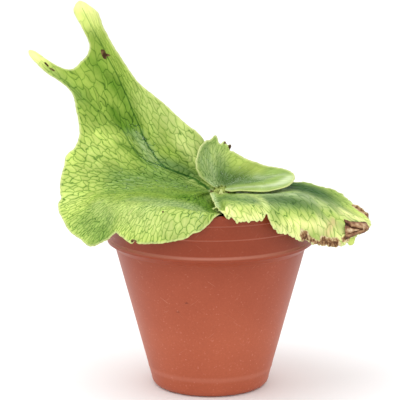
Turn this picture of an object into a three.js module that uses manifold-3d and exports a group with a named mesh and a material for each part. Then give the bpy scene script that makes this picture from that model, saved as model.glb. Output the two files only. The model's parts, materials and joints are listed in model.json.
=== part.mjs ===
// A young giant staghorn fern in a terracotta-coloured plastic pot: three broad fronds that
// spread from a short creeping stem. Millimetres, +Z up, the viewer on the -Y side, the origin in
// the middle of the pot's foot on the ground.
import * as THREE from 'three';
import { mergeVertices } from 'three/addons/utils/BufferGeometryUtils.js';
import Module from 'manifold-3d';

// Pot: a 15 cm nursery pot
const potHeight = 143;
const footRadius = 38.5; // the flat that it stands on
const footRound = 6; // rounding between foot and wall
const wallTop = 105; // where the straight wall meets the collar
const wallRadius = 70.5; // outer radius there
const wallLowRadius = 44; // outer radius just above the rounding
const wallThickness = 2.2;
const ringRadius = 76; // rounded ring at the collar's lower edge
const ringHeight = 112;
const lipRadius = 77; // top lip of the collar
const lipDepth = 7;
const baseThickness = 2.5;
const drainRadius = 4.5;
const drainCircle = 24; // the drain holes stand on this radius
const drainCount = 5;
const potSides = 56;

// Growing medium and stem
const clearance = 0.3; // gap kept between pieces that touch
const mediumEdge = 125; // height of the medium at the wall
const mediumMound = 15; // extra height of the mound that the stem creeps over
const moundPlace = [6, 12];
const moundWidth = 26;
const stemFoot = [7.5, 11, 118]; // buried end of the creeping stem
const stemLength = 35; // from there to the tip of its bud
const stemLean = 32; // degrees from upright, towards the viewer
const stemRadius = 4.8;

// Fronds
const bladeThickness = 0.7;
const padWidth = 7; // width of a pad of leaf between the net's veins
const padStretch = 1.5; // pads are this much longer along the ribs
const padHeight = 0.45; // how far a pad stands out of the net
const outlineStep = 3;

// The fronds' ribs and outlines are given as they are seen by an eye in front of the pot: across
// and up on the upright plane through the pot's axis. A third number is the depth behind it.
const eye = { x: -8, y: -1446, z: 445 };

// Each rib runs from the stem to or past the blade's edge, in order round the fan
const leftFrond = {
  colour: 0xa4c865,
  crown: [2, 145, -3],
  foot: [4, 5],
  level: 60,
  ribs: [
    [[3, 149, 6], [5, 164, 8], [0, 188, 12], [-10, 208, 16], [-25, 228, 21], [-41, 248, 26], [-55, 268, 31], [-66, 292, 36]],
    [[-1, 149, 3], [-10, 156, 5], [-28, 168, 8], [-44, 184, 13], [-56, 205, 18], [-66, 227, 23], [-78, 250, 29], [-94, 289, 36]],
    [[-14, 152, 1], [-36, 164, 5], [-56, 179, 9], [-73, 196, 13], [-89, 214, 17], [-111, 233, 21], [-138, 254, 24]],
    [[-16, 151, -1], [-38, 158, 1], [-60, 169, 4], [-80, 182, 7], [-97, 196, 9], [-114, 210, 11]],
    [[-16, 149, -3], [-38, 152, -2], [-60, 157, 0], [-81, 162, 1], [-102, 168, 1], [-122, 175, 1]],
    [[-16, 146, -7], [-38, 148, -10], [-61, 146, -10], [-82, 144, -8], [-100, 139, -8], [-120, 132, -10]],
    [[-15, 144, -12], [-34, 142, -24], [-50, 139, -38], [-66, 134, -48], [-77, 120, -48], [-91, 100, -46]],
    [[-10, 144, -16], [-24, 140, -33], [-35, 137, -50], [-44, 134, -61], [-50, 130, -63], [-56, 120, -62], [-66, 102, -63]],
    [[-6, 142, -11], [-10, 136, -30], [-16, 132, -52], [-24, 131, -72.5], [-28, 128, -75], [-32, 120, -75.5], [-38, 101, -75]],
    [[-2, 140, -11], [-1, 135, -24], [-4, 130, -44], [-6, 129, -64], [-6, 129, -76], [-8, 125, -79.5], [-9, 118, -79.5], [-12, 106, -79]],
    [[1, 139, -12], [3, 134, -22], [5, 130, -36], [6, 127.5, -58], [7, 128, -73], [8, 126, -79], [8, 115, -80]],
  ],
  outline: [
    [-4, 182], [-10, 190], [-18, 196], [-34, 211], [-52, 226], [-62, 240], [-72, 256], [-78, 268], [-82, 278],
    [-88, 283], [-94, 286], [-98, 283], [-99, 278], [-94, 268], [-90, 260], [-88, 254], [-89, 248], [-94, 242],
    [-102, 236], [-110, 238], [-117, 242], [-124, 247], [-129, 250], [-132, 250], [-132, 247], [-128, 242],
    [-120, 234], [-111, 228], [-102, 220], [-98, 205], [-96, 192], [-97, 184], [-100, 178], [-106, 172],
    [-108, 163], [-110, 156], [-111, 146], [-110, 140], [-112, 137], [-112, 131], [-108, 122], [-104, 115],
    [-96, 109], [-90, 104], [-86, 104], [-82, 106], [-76, 109], [-70, 114], [-67, 112], [-58, 106],
    [-56, 108], [-54, 106], [-38, 106], [-26, 108], [-18, 110], [-12, 114], [-8, 115], [-4, 118], [2, 125],
    [6, 131], [6, 136], [2.5, 140],
  ],
};

const middleFrond = {
  colour: 0x9bbd6f,
  crown: [8, 148.3, 0],
  foot: [2.4, 2.4],
  level: 30,
  ribs: [
    [[1, 148, -9], [-5, 153, -14], [-10, 160, -17], [-12, 167, -16], [-10, 176, -10], [-6, 186, -2]],
    [[2, 151, -5], [-2, 158, -8], [-4, 167, -7], [-4, 176, -3], [0, 184, 2], [2, 193, 6]],
    [[7, 152, -1], [7, 161, 0], [8, 169, 2], [12, 176, 6], [14, 186, 9]],
    [[12, 152, 3], [18, 158, 6], [26, 164, 9], [32, 169, 11], [41, 174, 12]],
    [[14, 150, 3], [24, 155, 8], [35, 160, 11], [46, 163, 11], [57, 167, 9]],
    [[15, 150, 0], [26, 152, 3], [38, 154, 4], [50, 156, 2], [62, 156, -1], [74, 157, -4]],
    [[14, 148, -4], [26, 149, -7], [36, 150, -10], [48, 150, -12], [66, 151, -13]],
    [[13, 147, -9], [22, 146, -16], [32, 146, -22], [42, 146, -24], [58, 148, -24]],
    [[12, 146, -12], [20, 145, -21], [30, 144, -29], [42, 144, -31], [58, 146, -31]],
  ],
  outline: [
    [-2.5, 152], [-7.5, 156.5], [-10.5, 163], [-10.5, 169], [-8.5, 176.5], [-4, 183], [0.5, 184.5],
    [2.5, 187], [4, 187.5], [5, 185], [5.5, 182.5], [7.5, 181], [9, 182.5], [10.5, 183], [11.5, 181.5],
    [13, 180], [14.5, 180.5], [15, 179], [14, 176.5], [17.5, 175], [24, 171], [30, 168.5], [38.5, 165.5],
    [51, 163], [59.5, 160], [62, 156.5], [61, 153], [57, 149.5], [51, 147.5], [41.5, 145.5], [32.5, 145.5],
    [21.5, 146], [15, 145.5],
  ],
};

const rightFrond = {
  colour: 0xaac95f,
  crown: [8, 146, -4],
  foot: [8, 8],
  level: 50,
  ribs: [
    [[2, 144, -12], [-2, 143, -16], [-6, 143, -20]],
    [[4, 142, -16], [3, 138, -27], [5, 134, -44], [7, 131, -60], [8, 130, -75], [8, 127, -79], [8, 118, -81]],
    [[7, 142, -14], [10, 140, -32], [10, 138, -50], [12, 136, -66], [12, 133, -76], [12, 128, -80], [12, 120, -82]],
    [[12, 143, -15], [16, 141, -33], [21, 139, -50], [25, 137, -65], [27, 134, -74], [28, 130, -78], [30, 120, -80]],
    [[16, 143, -14], [26, 142, -30], [34, 140, -46], [40, 137, -60], [44, 132, -68], [48, 123, -72], [52, 109, -74]],
    [[20, 144, -12], [34, 143, -24], [47, 142, -35], [56, 138, -44], [63, 130, -53], [68, 120, -56], [71, 104, -58]],
    [[24, 144, -10], [41, 144, -16], [56, 144, -22], [68, 142, -27], [77, 133, -32], [84, 121, -36], [89, 100, -40]],
    [[24, 145, -6], [42, 147, -8], [58, 146, -10], [74, 143, -12], [87, 136, -14], [100, 126, -16], [115, 114, -18]],
    [[24, 146, 0], [42, 147, 0], [60, 148, 0], [76, 146, 0], [90, 139, 0], [103, 131, 0], [120, 120, -2]],
    [[20, 147, 6], [36, 149, 12], [55, 154, 16], [70, 152, 17], [84, 149, 16], [100, 142, 13], [120, 130, 9]],
  ],
  outline: [
    [0, 144], [2, 138], [4, 134], [2, 132], [5, 133], [6, 132], [8, 130], [10, 125], [13, 124], [15, 126],
    [18, 124], [20, 122], [25, 123], [30, 123], [38, 124], [42, 128], [44, 123], [48, 116], [52, 114],
    [60, 112], [66, 108], [70, 109], [76, 106], [82, 105], [96, 104], [100, 106], [104, 110], [108, 112],
    [115, 116], [118, 121], [116, 128], [111, 132], [104, 137], [100, 140], [92, 146], [80, 149], [70, 152],
    [61, 152], [44, 150], [28, 148],
  ],
};

const material = (color, roughness = 0.6) => new THREE.MeshStandardMaterial({ color, roughness, metalness: 0 });

// A repeatable random number between -1 and 1 for a place in a lattice
const scatter = (i, j) => {
  const wild = Math.sin(i * 127.1 + j * 311.7) * 43758.5453;
  return 2 * (wild - Math.floor(wild)) - 1;
};

// From a landmark as seen to its point in space, and back
const place = ([across, up, depth]) => {
  const reach = 1 - depth / eye.y;
  return new THREE.Vector3(eye.x + (across - eye.x) * reach, depth, eye.z + (up - eye.z) * reach);
};
const sighted = (point) => {
  const reach = 1 - point.y / eye.y;
  return [eye.x + (point.x - eye.x) / reach, eye.z + (point.z - eye.z) / reach];
};

// A blade is a fan of ribs. It is also laid flat: each rib keeps its length and its bend within the
// blade but loses its bend up or down, and neighbours start off as far apart as the real ones are.
// A place on the fan is a rib's number, with a fraction between two ribs, and a length along it.
function makeFan({ crown, ribs, level }) {
  const start = place(crown), reach = 240, step = 2, last = ribs.length - 1;
  const rails = ribs.map((rib) => {
    const curve = new THREE.CatmullRomCurve3([start, ...rib.map(place)], false, 'centripetal');
    const length = curve.getLength(), end = curve.getPoint(1), ahead = curve.getTangent(1);
    const rail = [];
    for (let r = 0; r <= reach; r += step) {
      rail.push(r < length ? curve.getPointAt(r / length) : end.clone().addScaledVector(ahead, r - length));
    }
    return rail;
  });
  let aim = 0;
  const grid = rails.map((rail, i) => {
    const k = level / step, before = rails[Math.max(i - 1, 0)], after = rails[Math.min(i + 1, last)];
    if (i > 0) aim += rail[k].distanceTo(before[k]) / level;
    const line = [new THREE.Vector2()];
    let heading = 0;
    for (let n = 1; n < rail.length; n++) {
      if (n * step > 12) {
        const behind = rail[n - 1].clone().sub(rail[n - 2]), ahead = rail[n].clone().sub(rail[n - 1]);
        const face = behind.clone().cross(after[n].clone().sub(before[n])).normalize();
        heading += behind.cross(ahead).dot(face) / step ** 2;
      }
      line.push(new THREE.Vector2(step * Math.cos(heading), step * Math.sin(heading)).add(line[n - 1]));
    }
    const turn = aim - line[k].angle() + (line[k].y < 0 ? 2 * Math.PI : 0);
    const middle = new THREE.Vector2();
    return line.map((point, n) => [...rail[n].toArray(), ...point.rotateAround(middle, turn).toArray()]);
  });
  const onRib = (i, r) => {
    const n = THREE.MathUtils.clamp(Math.floor(r / step), 0, grid[0].length - 2);
    return grid[i][n].map((value, axis) => value + (grid[i][n + 1][axis] - value) * (r / step - n));
  };
  // Its point in space, then its point on the flat
  const at = (s, r) => {
    const i = THREE.MathUtils.clamp(Math.floor(s), 0, last - 1), t = s - i;
    const b = onRib(i, r), c = onRib(i + 1, r);
    if (t < 0 || t > 1) return b.map((value, axis) => value + (c[axis] - value) * t);
    const a = i > 0 ? onRib(i - 1, r) : b.map((value, axis) => 2 * value - c[axis]);
    const d = i < last - 1 ? onRib(i + 2, r) : c.map((value, axis) => 2 * value - b[axis]);
    return b.map((p1, axis) => {
      const p0 = a[axis], p2 = c[axis], p3 = d[axis];
      return p1 + 0.5 * t * (p2 - p0 + t * (2 * p0 - 5 * p1 + 4 * p2 - p3 + t * (3 * (p1 - p2) + p3 - p0)));
    });
  };
  // The place whose look is nearest to a target: the nearest of a grid of places, then Newton's steps
  const finder = (look) => {
    const tries = [];
    for (let s = 0; s <= last; s += 0.25) {
      for (let r = 2; r < reach - 20; r += 4) tries.push([s, r, ...look(at(s, r))]);
    }
    return ([x, y]) => {
      let best = Infinity, s = 0, r = 0;
      for (const [si, ri, xi, yi] of tries) {
        const miss = (xi - x) ** 2 + (yi - y) ** 2;
        if (miss < best) [best, s, r] = [miss, si, ri];
      }
      const small = 0.01;
      for (let n = 0; n < 10; n++) {
        const [x0, y0] = look(at(s, r)), [xs, ys] = look(at(s + small, r)), [xr, yr] = look(at(s, r + small));
        const a = (xs - x0) / small, b = (xr - x0) / small, c = (ys - y0) / small, d = (yr - y0) / small;
        const size = a * d - b * c;
        s += THREE.MathUtils.clamp((d * (x - x0) - b * (y - y0)) / size, -0.3, 0.3);
        r += THREE.MathUtils.clamp((a * (y - y0) - c * (x - x0)) / size, -5, 5);
      }
      return [s, r];
    };
  };
  return { at, finder, last, turn: aim };
}

// Triangles that join scattered points on a plane so that no other point lies in their circles
function joinPoints(points) {
  const count = points.length;
  const all = [...points, [-5000, -3000], [5000, -3000], [0, 6000]];
  const circled = (a, b, c) => {
    const [ax, ay] = all[a], [bx, by] = all[b], [cx, cy] = all[c];
    const twice = 2 * (ax * (by - cy) + bx * (cy - ay) + cx * (ay - by));
    const aa = ax * ax + ay * ay, bb = bx * bx + by * by, cc = cx * cx + cy * cy;
    const x = (aa * (by - cy) + bb * (cy - ay) + cc * (ay - by)) / twice;
    const y = (aa * (cx - bx) + bb * (ax - cx) + cc * (bx - ax)) / twice;
    return { corners: [a, b, c], x, y, size: (ax - x) ** 2 + (ay - y) ** 2 };
  };
  let triangles = [circled(count, count + 1, count + 2)];
  for (let i = 0; i < count; i++) {
    const [px, py] = points[i], edges = new Map(), kept = [];
    for (const triangle of triangles) {
      if ((px - triangle.x) ** 2 + (py - triangle.y) ** 2 >= triangle.size) {
        kept.push(triangle);
        continue;
      }
      const [a, b, c] = triangle.corners;
      for (const [from, to] of [[a, b], [b, c], [c, a]]) {
        if (edges.has(`${to} ${from}`)) edges.delete(`${to} ${from}`);
        else edges.set(`${from} ${to}`, [from, to]);
      }
    }
    triangles = kept;
    for (const [from, to] of edges.values()) triangles.push(circled(from, to, i));
  }
  return triangles.map((triangle) => triangle.corners).filter((corners) => Math.max(...corners) < count);
}

const insideOf = (loop, [x, y]) => {
  let inside = false;
  for (let i = 0, k = loop.length - 1; i < loop.length; k = i++) {
    const [ax, ay] = loop[i], [bx, by] = loop[k];
    if (ay > y !== by > y && x < ((bx - ax) * (y - ay)) / (by - ay) + ax) inside = !inside;
  }
  return inside;
};

// A blade with its cut outline, and its net of veins as low places between raised pads
function makeBlade(name, shape) {
  const fan = makeFan(shape);
  const seen = fan.finder(([x, y, z]) => sighted({ x, y, z }));
  const laid = fan.finder((point) => point.slice(3));
  // The net is laid out on the flat blade drawn in along its ribs, so that its pads come out long
  const drawIn = ([x, y], stretch, middle) => {
    const ahead = x * Math.cos(middle) + y * Math.sin(middle);
    const beside = y * Math.cos(middle) - x * Math.sin(middle);
    const angle = (middle + Math.atan2(beside, ahead)) * stretch, r = Math.hypot(x, y) / stretch;
    return [r * Math.cos(angle), r * Math.sin(angle)];
  };
  const flatten = (mark) => drawIn(fan.at(...mark).slice(3), padStretch, fan.turn / 2);
  const bend = (point) => fan.at(...laid(drawIn(point, 1 / padStretch, (padStretch * fan.turn) / 2)));
  const marks = shape.outline.map((mark) => seen(mark));
  // The blade's foot follows the stem round
  const [footFirst, footLast] = shape.foot;
  for (let t = 1; t >= 0; t -= 1 / 8) marks.push([t * fan.last, footFirst + (footLast - footFirst) * t]);
  const flat = marks.map((mark) => new THREE.Vector3(...flatten(mark), 0));
  const edge = new THREE.CatmullRomCurve3(flat, true, 'centripetal');
  const edgeCount = Math.round((edge.getLength() * 1.25) / outlineStep);
  const loop = [];
  for (let i = 0; i < edgeCount; i++) {
    const { x, y } = edge.getPointAt(i / edgeCount);
    loop.push([x, y]);
  }
  // Every third point of a triangular lattice is the middle of a pad, the rest are vein joints
  const side = padWidth / Math.sqrt(3);
  const points = [...loop], raised = loop.map(() => 0);
  const lattice = Math.ceil(200 / side);
  for (let i = -lattice; i <= lattice; i++) {
    for (let k = -lattice; k <= lattice; k++) {
      const x = side * (i + k / 2 + 0.16 * scatter(i, k));
      const y = side * (k * Math.sqrt(0.75) + 0.16 * scatter(k, i + 40));
      const near = Math.min(...loop.map(([ex, ey]) => Math.hypot(ex - x, ey - y)));
      if (near < side * 0.6 || !insideOf(loop, [x, y])) continue;
      points.push([x, y]);
      raised.push((((i - k) % 3) + 3) % 3 === 0 ? padHeight : 0);
    }
  }
  const triangles = joinPoints(points).filter((corners) => {
    const middle = [0, 1].map((axis) => (points[corners[0]][axis] + points[corners[1]][axis] + points[corners[2]][axis]) / 3);
    return insideOf(loop, middle);
  });
  // Bent into place
  const bent = points.map((point) => new THREE.Vector3(...bend(point).slice(0, 3)));
  const normals = bent.map(() => new THREE.Vector3());
  for (const [a, b, c] of triangles) {
    const across = new THREE.Vector3().subVectors(bent[b], bent[a]);
    const normal = across.cross(new THREE.Vector3().subVectors(bent[c], bent[a]));
    for (const corner of [a, b, c]) normals[corner].add(normal);
  }
  // Both faces take the same triangles, and the edge is closed between them
  const count = points.length, position = [];
  const up = normals[count - 1].z - normals[count - 1].y > 0 ? 1 : -1;
  for (const offset of [bladeThickness / 2, -bladeThickness / 2]) {
    bent.forEach((point, i) => {
      const out = normals[i].clone().normalize();
      position.push(...point.clone().addScaledVector(out, up * raised[i] + offset).toArray());
    });
  }
  const index = [], once = new Map();
  for (const [a, b, c] of triangles) {
    index.push(a, b, c, a + count, c + count, b + count);
    for (const [from, to] of [[a, b], [b, c], [c, a]]) {
      if (once.has(`${to} ${from}`)) once.delete(`${to} ${from}`);
      else once.set(`${from} ${to}`, [from, to]);
    }
  }
  for (const [from, to] of once.values()) {
    index.push(from, from + count, to, to, from + count, to + count);
  }
  const geometry = new THREE.BufferGeometry();
  geometry.setAttribute('position', new THREE.Float32BufferAttribute(position, 3));
  geometry.setIndex(index);
  const mesh = new THREE.Mesh(geometry, material(shape.colour));
  mesh.name = name;
  return mesh;
}

// Closed solids of revolution and what is cut from them
const wasm = await Module();
wasm.setup();
function toSolid(geometry) {
  const bare = geometry.clone().toNonIndexed();
  bare.deleteAttribute('normal');
  bare.deleteAttribute('uv');
  const merged = mergeVertices(bare, 1e-4);
  const corners = merged.index.array, kept = [];
  for (let i = 0; i < corners.length; i += 3) {
    const [a, b, c] = corners.slice(i, i + 3);
    if (a !== b && b !== c && c !== a) kept.push(a, b, c);
  }
  const vertProperties = new Float32Array(merged.attributes.position.array);
  return new wasm.Manifold(new wasm.Mesh({ numProp: 3, vertProperties, triVerts: new Uint32Array(kept) }));
}
function fromSolid(solid) {
  const { vertProperties, triVerts } = solid.getMesh();
  const geometry = new THREE.BufferGeometry();
  geometry.setAttribute('position', new THREE.Float32BufferAttribute(vertProperties, 3));
  geometry.setIndex([...triVerts]);
  return geometry;
}
const turned = (profile, sides) => {
  const points = profile.map(([radius, height]) => new THREE.Vector2(radius, height));
  return new THREE.LatheGeometry(points, sides).rotateX(Math.PI / 2);
};

function makePot() {
  const rounded = [0, 0.25, 0.5, 0.75, 1].map((t) => {
    const angle = (t * Math.PI) / 2;
    return [footRadius + (wallLowRadius - footRadius) * Math.sin(angle), footRound * (1 - Math.cos(angle))];
  });
  const outer = [
    [0, 0], ...rounded, [wallRadius, wallTop],
    [wallRadius + 1.2, wallTop + 1.2], [ringRadius - 1.2, ringHeight - 3.6], [ringRadius, ringHeight - 2],
    [ringRadius, ringHeight], [ringRadius - 0.7, ringHeight + 2],
    [ringRadius - 0.3, 125], [ringRadius + 0.2, 125.6], [ringRadius + 0.4, potHeight - lipDepth - 0.6],
    [lipRadius, potHeight - lipDepth], [lipRadius, potHeight - 1], [lipRadius - 1, potHeight],
  ];
  const innerTop = lipRadius - 3.2;
  const inner = [
    [innerTop + 0.8, potHeight], [innerTop, potHeight - 1], [ringRadius - 3.6, ringHeight],
    [wallRadius - wallThickness, wallTop - 2], [wallLowRadius - wallThickness, baseThickness + 5],
    [footRadius - 1, baseThickness], [0, baseThickness],
  ];
  let pot = toSolid(turned([...outer, ...inner], potSides));
  for (let i = 0; i < drainCount; i++) {
    const angle = (i / drainCount) * 2 * Math.PI;
    const hole = new THREE.CylinderGeometry(drainRadius, drainRadius, 12, 20).rotateX(Math.PI / 2);
    hole.translate(drainCircle * Math.cos(angle), drainCircle * Math.sin(angle), 0);
    pot = pot.subtract(toSolid(hole));
  }
  const mesh = new THREE.Mesh(fromSolid(pot), material(0xa85438, 0.5));
  mesh.name = 'pot';
  return mesh;
}

// The creeping stem lies buried but for its end, a bud that leans out towards the viewer
function stemShape(extra) {
  const radius = stemRadius + extra;
  const profile = [[0, 0], [0.55, 0.02], [0.85, 0.12], [1, 0.35], [1, 0.78], [0.9, 0.88], [0.66, 0.95], [0.35, 0.985], [0, 1]];
  const spindle = turned(profile.map(([r, t]) => [r * radius, t * stemLength + (t * 2 - 1) * extra]), 18);
  return spindle.rotateX(THREE.MathUtils.degToRad(stemLean)).translate(...stemFoot);
}
function makeStem() {
  const mesh = new THREE.Mesh(fromSolid(toSolid(stemShape(0))), material(0x8f9a4c, 0.8));
  mesh.name = 'rhizome';
  return mesh;
}

// Bark and moss fill the pot up to a low mound round the stem, which stands in a plain hole
function makeMedium() {
  const profile = [
    [0, baseThickness + clearance], [footRadius - 2, baseThickness + clearance],
    [wallLowRadius - wallThickness - clearance, baseThickness + 5.5],
    [wallRadius - wallThickness - clearance, wallTop - 2],
    [ringRadius - 3.6 - clearance, ringHeight], [ringRadius - 3.4 - clearance, mediumEdge - 3],
  ];
  for (let radius = 68; radius > 0; radius -= 6) {
    profile.push([radius, mediumEdge]);
  }
  profile.push([0, mediumEdge]);
  const geometry = turned(profile, 48);
  // Its top is uneven
  const { position } = geometry.attributes;
  for (let i = 0; i < position.count; i++) {
    const x = position.getX(i), y = position.getY(i), z = position.getZ(i);
    if (z > mediumEdge - 1) {
      const lump = Math.sin(x * 0.35 + 1) * Math.cos(y * 0.31) + 0.5 * Math.sin(x * 0.8 - y * 0.7);
      const far = Math.hypot(x - moundPlace[0], y - moundPlace[1]) / moundWidth;
      position.setZ(i, z + 0.9 * lump + mediumMound * Math.exp(-far * far));
    }
  }
  const solid = toSolid(geometry).subtract(toSolid(stemShape(clearance)));
  const mesh = new THREE.Mesh(fromSolid(solid), material(0x4a3524, 0.95));
  mesh.name = 'potting_medium';
  return mesh;
}

const plant = new THREE.Group();
plant.add(makePot(), makeMedium(), makeStem());
plant.add(makeBlade('frond_left', leftFrond), makeBlade('frond_middle', middleFrond));
plant.add(makeBlade('frond_right', rightFrond));
export default plant;
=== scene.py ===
# %% [markdown]
# # A young giant staghorn fern in a plastic pot
#
# The plant has three broad fronds that spread from a short creeping stem: a tall forked one on the
# left, a scooped one in the middle and a drooping one with a dry tip on the right. They stand in
# bark and moss in a terracotta-coloured nursery pot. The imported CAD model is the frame: it gives
# every piece its place and size in metres. Each CAD solid is replaced here by a finer mesh of the
# same form, because leaves, bark and moulded plastic show their character in small detail.

import json
import math

import bpy
import numpy as np
from mathutils import Euler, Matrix
from mathutils.geometry import delaunay_2d_cdt

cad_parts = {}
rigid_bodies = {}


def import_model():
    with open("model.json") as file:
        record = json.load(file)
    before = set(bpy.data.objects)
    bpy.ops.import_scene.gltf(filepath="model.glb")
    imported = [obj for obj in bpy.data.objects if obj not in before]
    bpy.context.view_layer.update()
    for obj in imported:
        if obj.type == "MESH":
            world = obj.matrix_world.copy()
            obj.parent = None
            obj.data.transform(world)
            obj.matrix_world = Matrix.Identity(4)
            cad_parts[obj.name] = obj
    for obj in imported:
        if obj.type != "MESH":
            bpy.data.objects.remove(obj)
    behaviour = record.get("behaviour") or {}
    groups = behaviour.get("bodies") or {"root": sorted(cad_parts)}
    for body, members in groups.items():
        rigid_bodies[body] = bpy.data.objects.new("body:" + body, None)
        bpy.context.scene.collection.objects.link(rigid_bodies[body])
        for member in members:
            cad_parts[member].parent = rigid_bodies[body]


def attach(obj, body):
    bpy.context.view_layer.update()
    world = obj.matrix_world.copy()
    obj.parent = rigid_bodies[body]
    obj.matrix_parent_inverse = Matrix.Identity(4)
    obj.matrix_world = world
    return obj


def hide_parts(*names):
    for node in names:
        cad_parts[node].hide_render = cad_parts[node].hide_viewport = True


for thing in list(bpy.data.objects):
    bpy.data.objects.remove(thing)
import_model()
bpy.context.view_layer.update()
MM = 0.001

# %% [markdown]
# ## Two helpers for materials
#
# Colours are easiest to read off a picture as sRGB hex values, but Blender's sockets expect linear
# light, so one function turns the first into the second. A material is a small tree of nodes, and
# one more function adds a node with its settings and its links in a single line.


# %% Colour and node helpers
def linear(code):
    """An sRGB hex colour as linear red, green, blue and alpha."""
    values = [int(code[i : i + 2], 16) / 255 for i in (1, 3, 5)]
    return (*[v / 12.92 if v <= 0.04045 else ((v + 0.055) / 1.055) ** 2.4 for v in values], 1.0)


def add(tree, kind, inputs=None, out=None, stops=(), **settings):
    """Adds a node and returns it, or the one output that out names.

    inputs maps a socket to a value or to the output that is linked to it, and stops are the
    positions and colours of a colour ramp.
    """
    node = tree.nodes.new(kind)
    for name, value in settings.items():
        setattr(node, name, value)
    for socket, value in (inputs or {}).items():
        if isinstance(value, bpy.types.NodeSocket):
            tree.links.new(value, node.inputs[socket])
        else:
            node.inputs[socket].default_value = value
    for i, (position, colour) in enumerate(stops):
        points = node.color_ramp.elements
        point = points[i] if i < len(points) else points.new(position)
        point.position, point.color = position, colour
    return node if out is None else node.outputs[out]


print("mid green in linear light:", [round(v, 3) for v in linear("#8fb84e")])

# %% [markdown]
# ## The fronds as fans of ribs
#
# A staghorn frond grows as a fan: its veins fork again and again from the stem outwards. The CAD
# source describes each blade the same way, as a dozen ribs that start at the stem and bend through
# space. Here the ribs are read again at a finer step. Their points are given as they look from an
# eye in front of the pot, across and up on the upright plane through the pot's axis, with the
# depth behind that plane as a third number, all in millimetres.

# %% Landmarks of the left frond
EYE = np.array([-8.0, -1446.0, 445.0])
# The ribs start at the crown, and the blade begins as far along its first and its last rib as foot
# says. The turn from rib to rib is measured at the length level
LEFT = {
    "crown": [2, 145, -3],
    "foot": [2.5, 2.5],
    "level": 60,
    "ribs": [
        [[3, 149, 6], [5, 164, 8], [0, 188, 12], [-10, 208, 16], [-25, 228, 21], [-41, 248, 26],
         [-55, 268, 31], [-66, 292, 36]],
        [[-1, 149, 3], [-10, 156, 5], [-28, 168, 8], [-44, 184, 13], [-56, 205, 18], [-66, 227, 23],
         [-78, 250, 29], [-94, 289, 36]],
        [[-14, 152, 1], [-36, 164, 5], [-56, 179, 9], [-73, 196, 13], [-89, 214, 17],
         [-111, 233, 21], [-138, 254, 24]],
        [[-16, 151, -1], [-38, 158, 1], [-60, 169, 4], [-80, 182, 7], [-97, 196, 9],
         [-114, 210, 11]],
        [[-16, 149, -3], [-38, 152, -2], [-60, 157, 0], [-81, 162, 1], [-102, 168, 1],
         [-122, 175, 1]],
        [[-16, 146, -7], [-38, 148, -10], [-61, 146, -10], [-82, 144, -8], [-100, 139, -8],
         [-120, 132, -10]],
        [[-15, 144, -12], [-34, 142, -24], [-50, 139, -38], [-66, 134, -48], [-77, 120, -48],
         [-91, 100, -46]],
        [[-10, 144, -16], [-24, 140, -33], [-35, 137, -50], [-44, 134, -61], [-50, 130, -63],
         [-56, 120, -62], [-66, 102, -63]],
        [[-6, 142, -11], [-10, 136, -30], [-16, 132, -52], [-24, 131, -72.5], [-28, 128, -75],
         [-32, 120, -75.5], [-38, 101, -75]],
        [[-2, 140, -11], [-1, 135, -24], [-4, 130, -44], [-6, 129, -64], [-6, 129, -76],
         [-8, 125, -79.5], [-9, 118, -79.5], [-12, 106, -79]],
        [[1, 139, -12], [3, 134, -22], [5, 130, -36], [6, 127.5, -58], [7, 128, -73],
         [8, 126, -79], [8, 115, -80]],
    ],
    "outline": [
        [-4, 182], [-10, 190], [-18, 196], [-34, 211], [-52, 226], [-62, 240], [-72, 256],
        [-78, 268], [-82, 278], [-88, 283], [-94, 286], [-98, 283], [-99, 278], [-94, 268],
        [-90, 260], [-88, 254], [-89, 248], [-94, 242], [-102, 236], [-110, 238], [-117, 242],
        [-124, 247], [-129, 250], [-132, 250], [-132, 247], [-128, 242], [-120, 234], [-111, 228],
        [-102, 220], [-98, 205], [-96, 192], [-97, 184], [-100, 178], [-106, 172], [-108, 163],
        [-110, 156], [-111, 146], [-110, 140], [-112, 137], [-112, 131], [-108, 122], [-104, 115],
        [-96, 109], [-90, 104], [-86, 104], [-82, 106], [-76, 109], [-70, 114], [-67, 112],
        [-58, 106], [-56, 108], [-54, 106], [-38, 106], [-26, 108], [-18, 110], [-12, 114],
        [-8, 115], [-4, 118], [2, 124.5], [7, 128], [6.6, 132], [2.5, 140],
    ],
}
print("left frond:", len(LEFT["ribs"]), "ribs and", len(LEFT["outline"]), "points of its margin")

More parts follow.
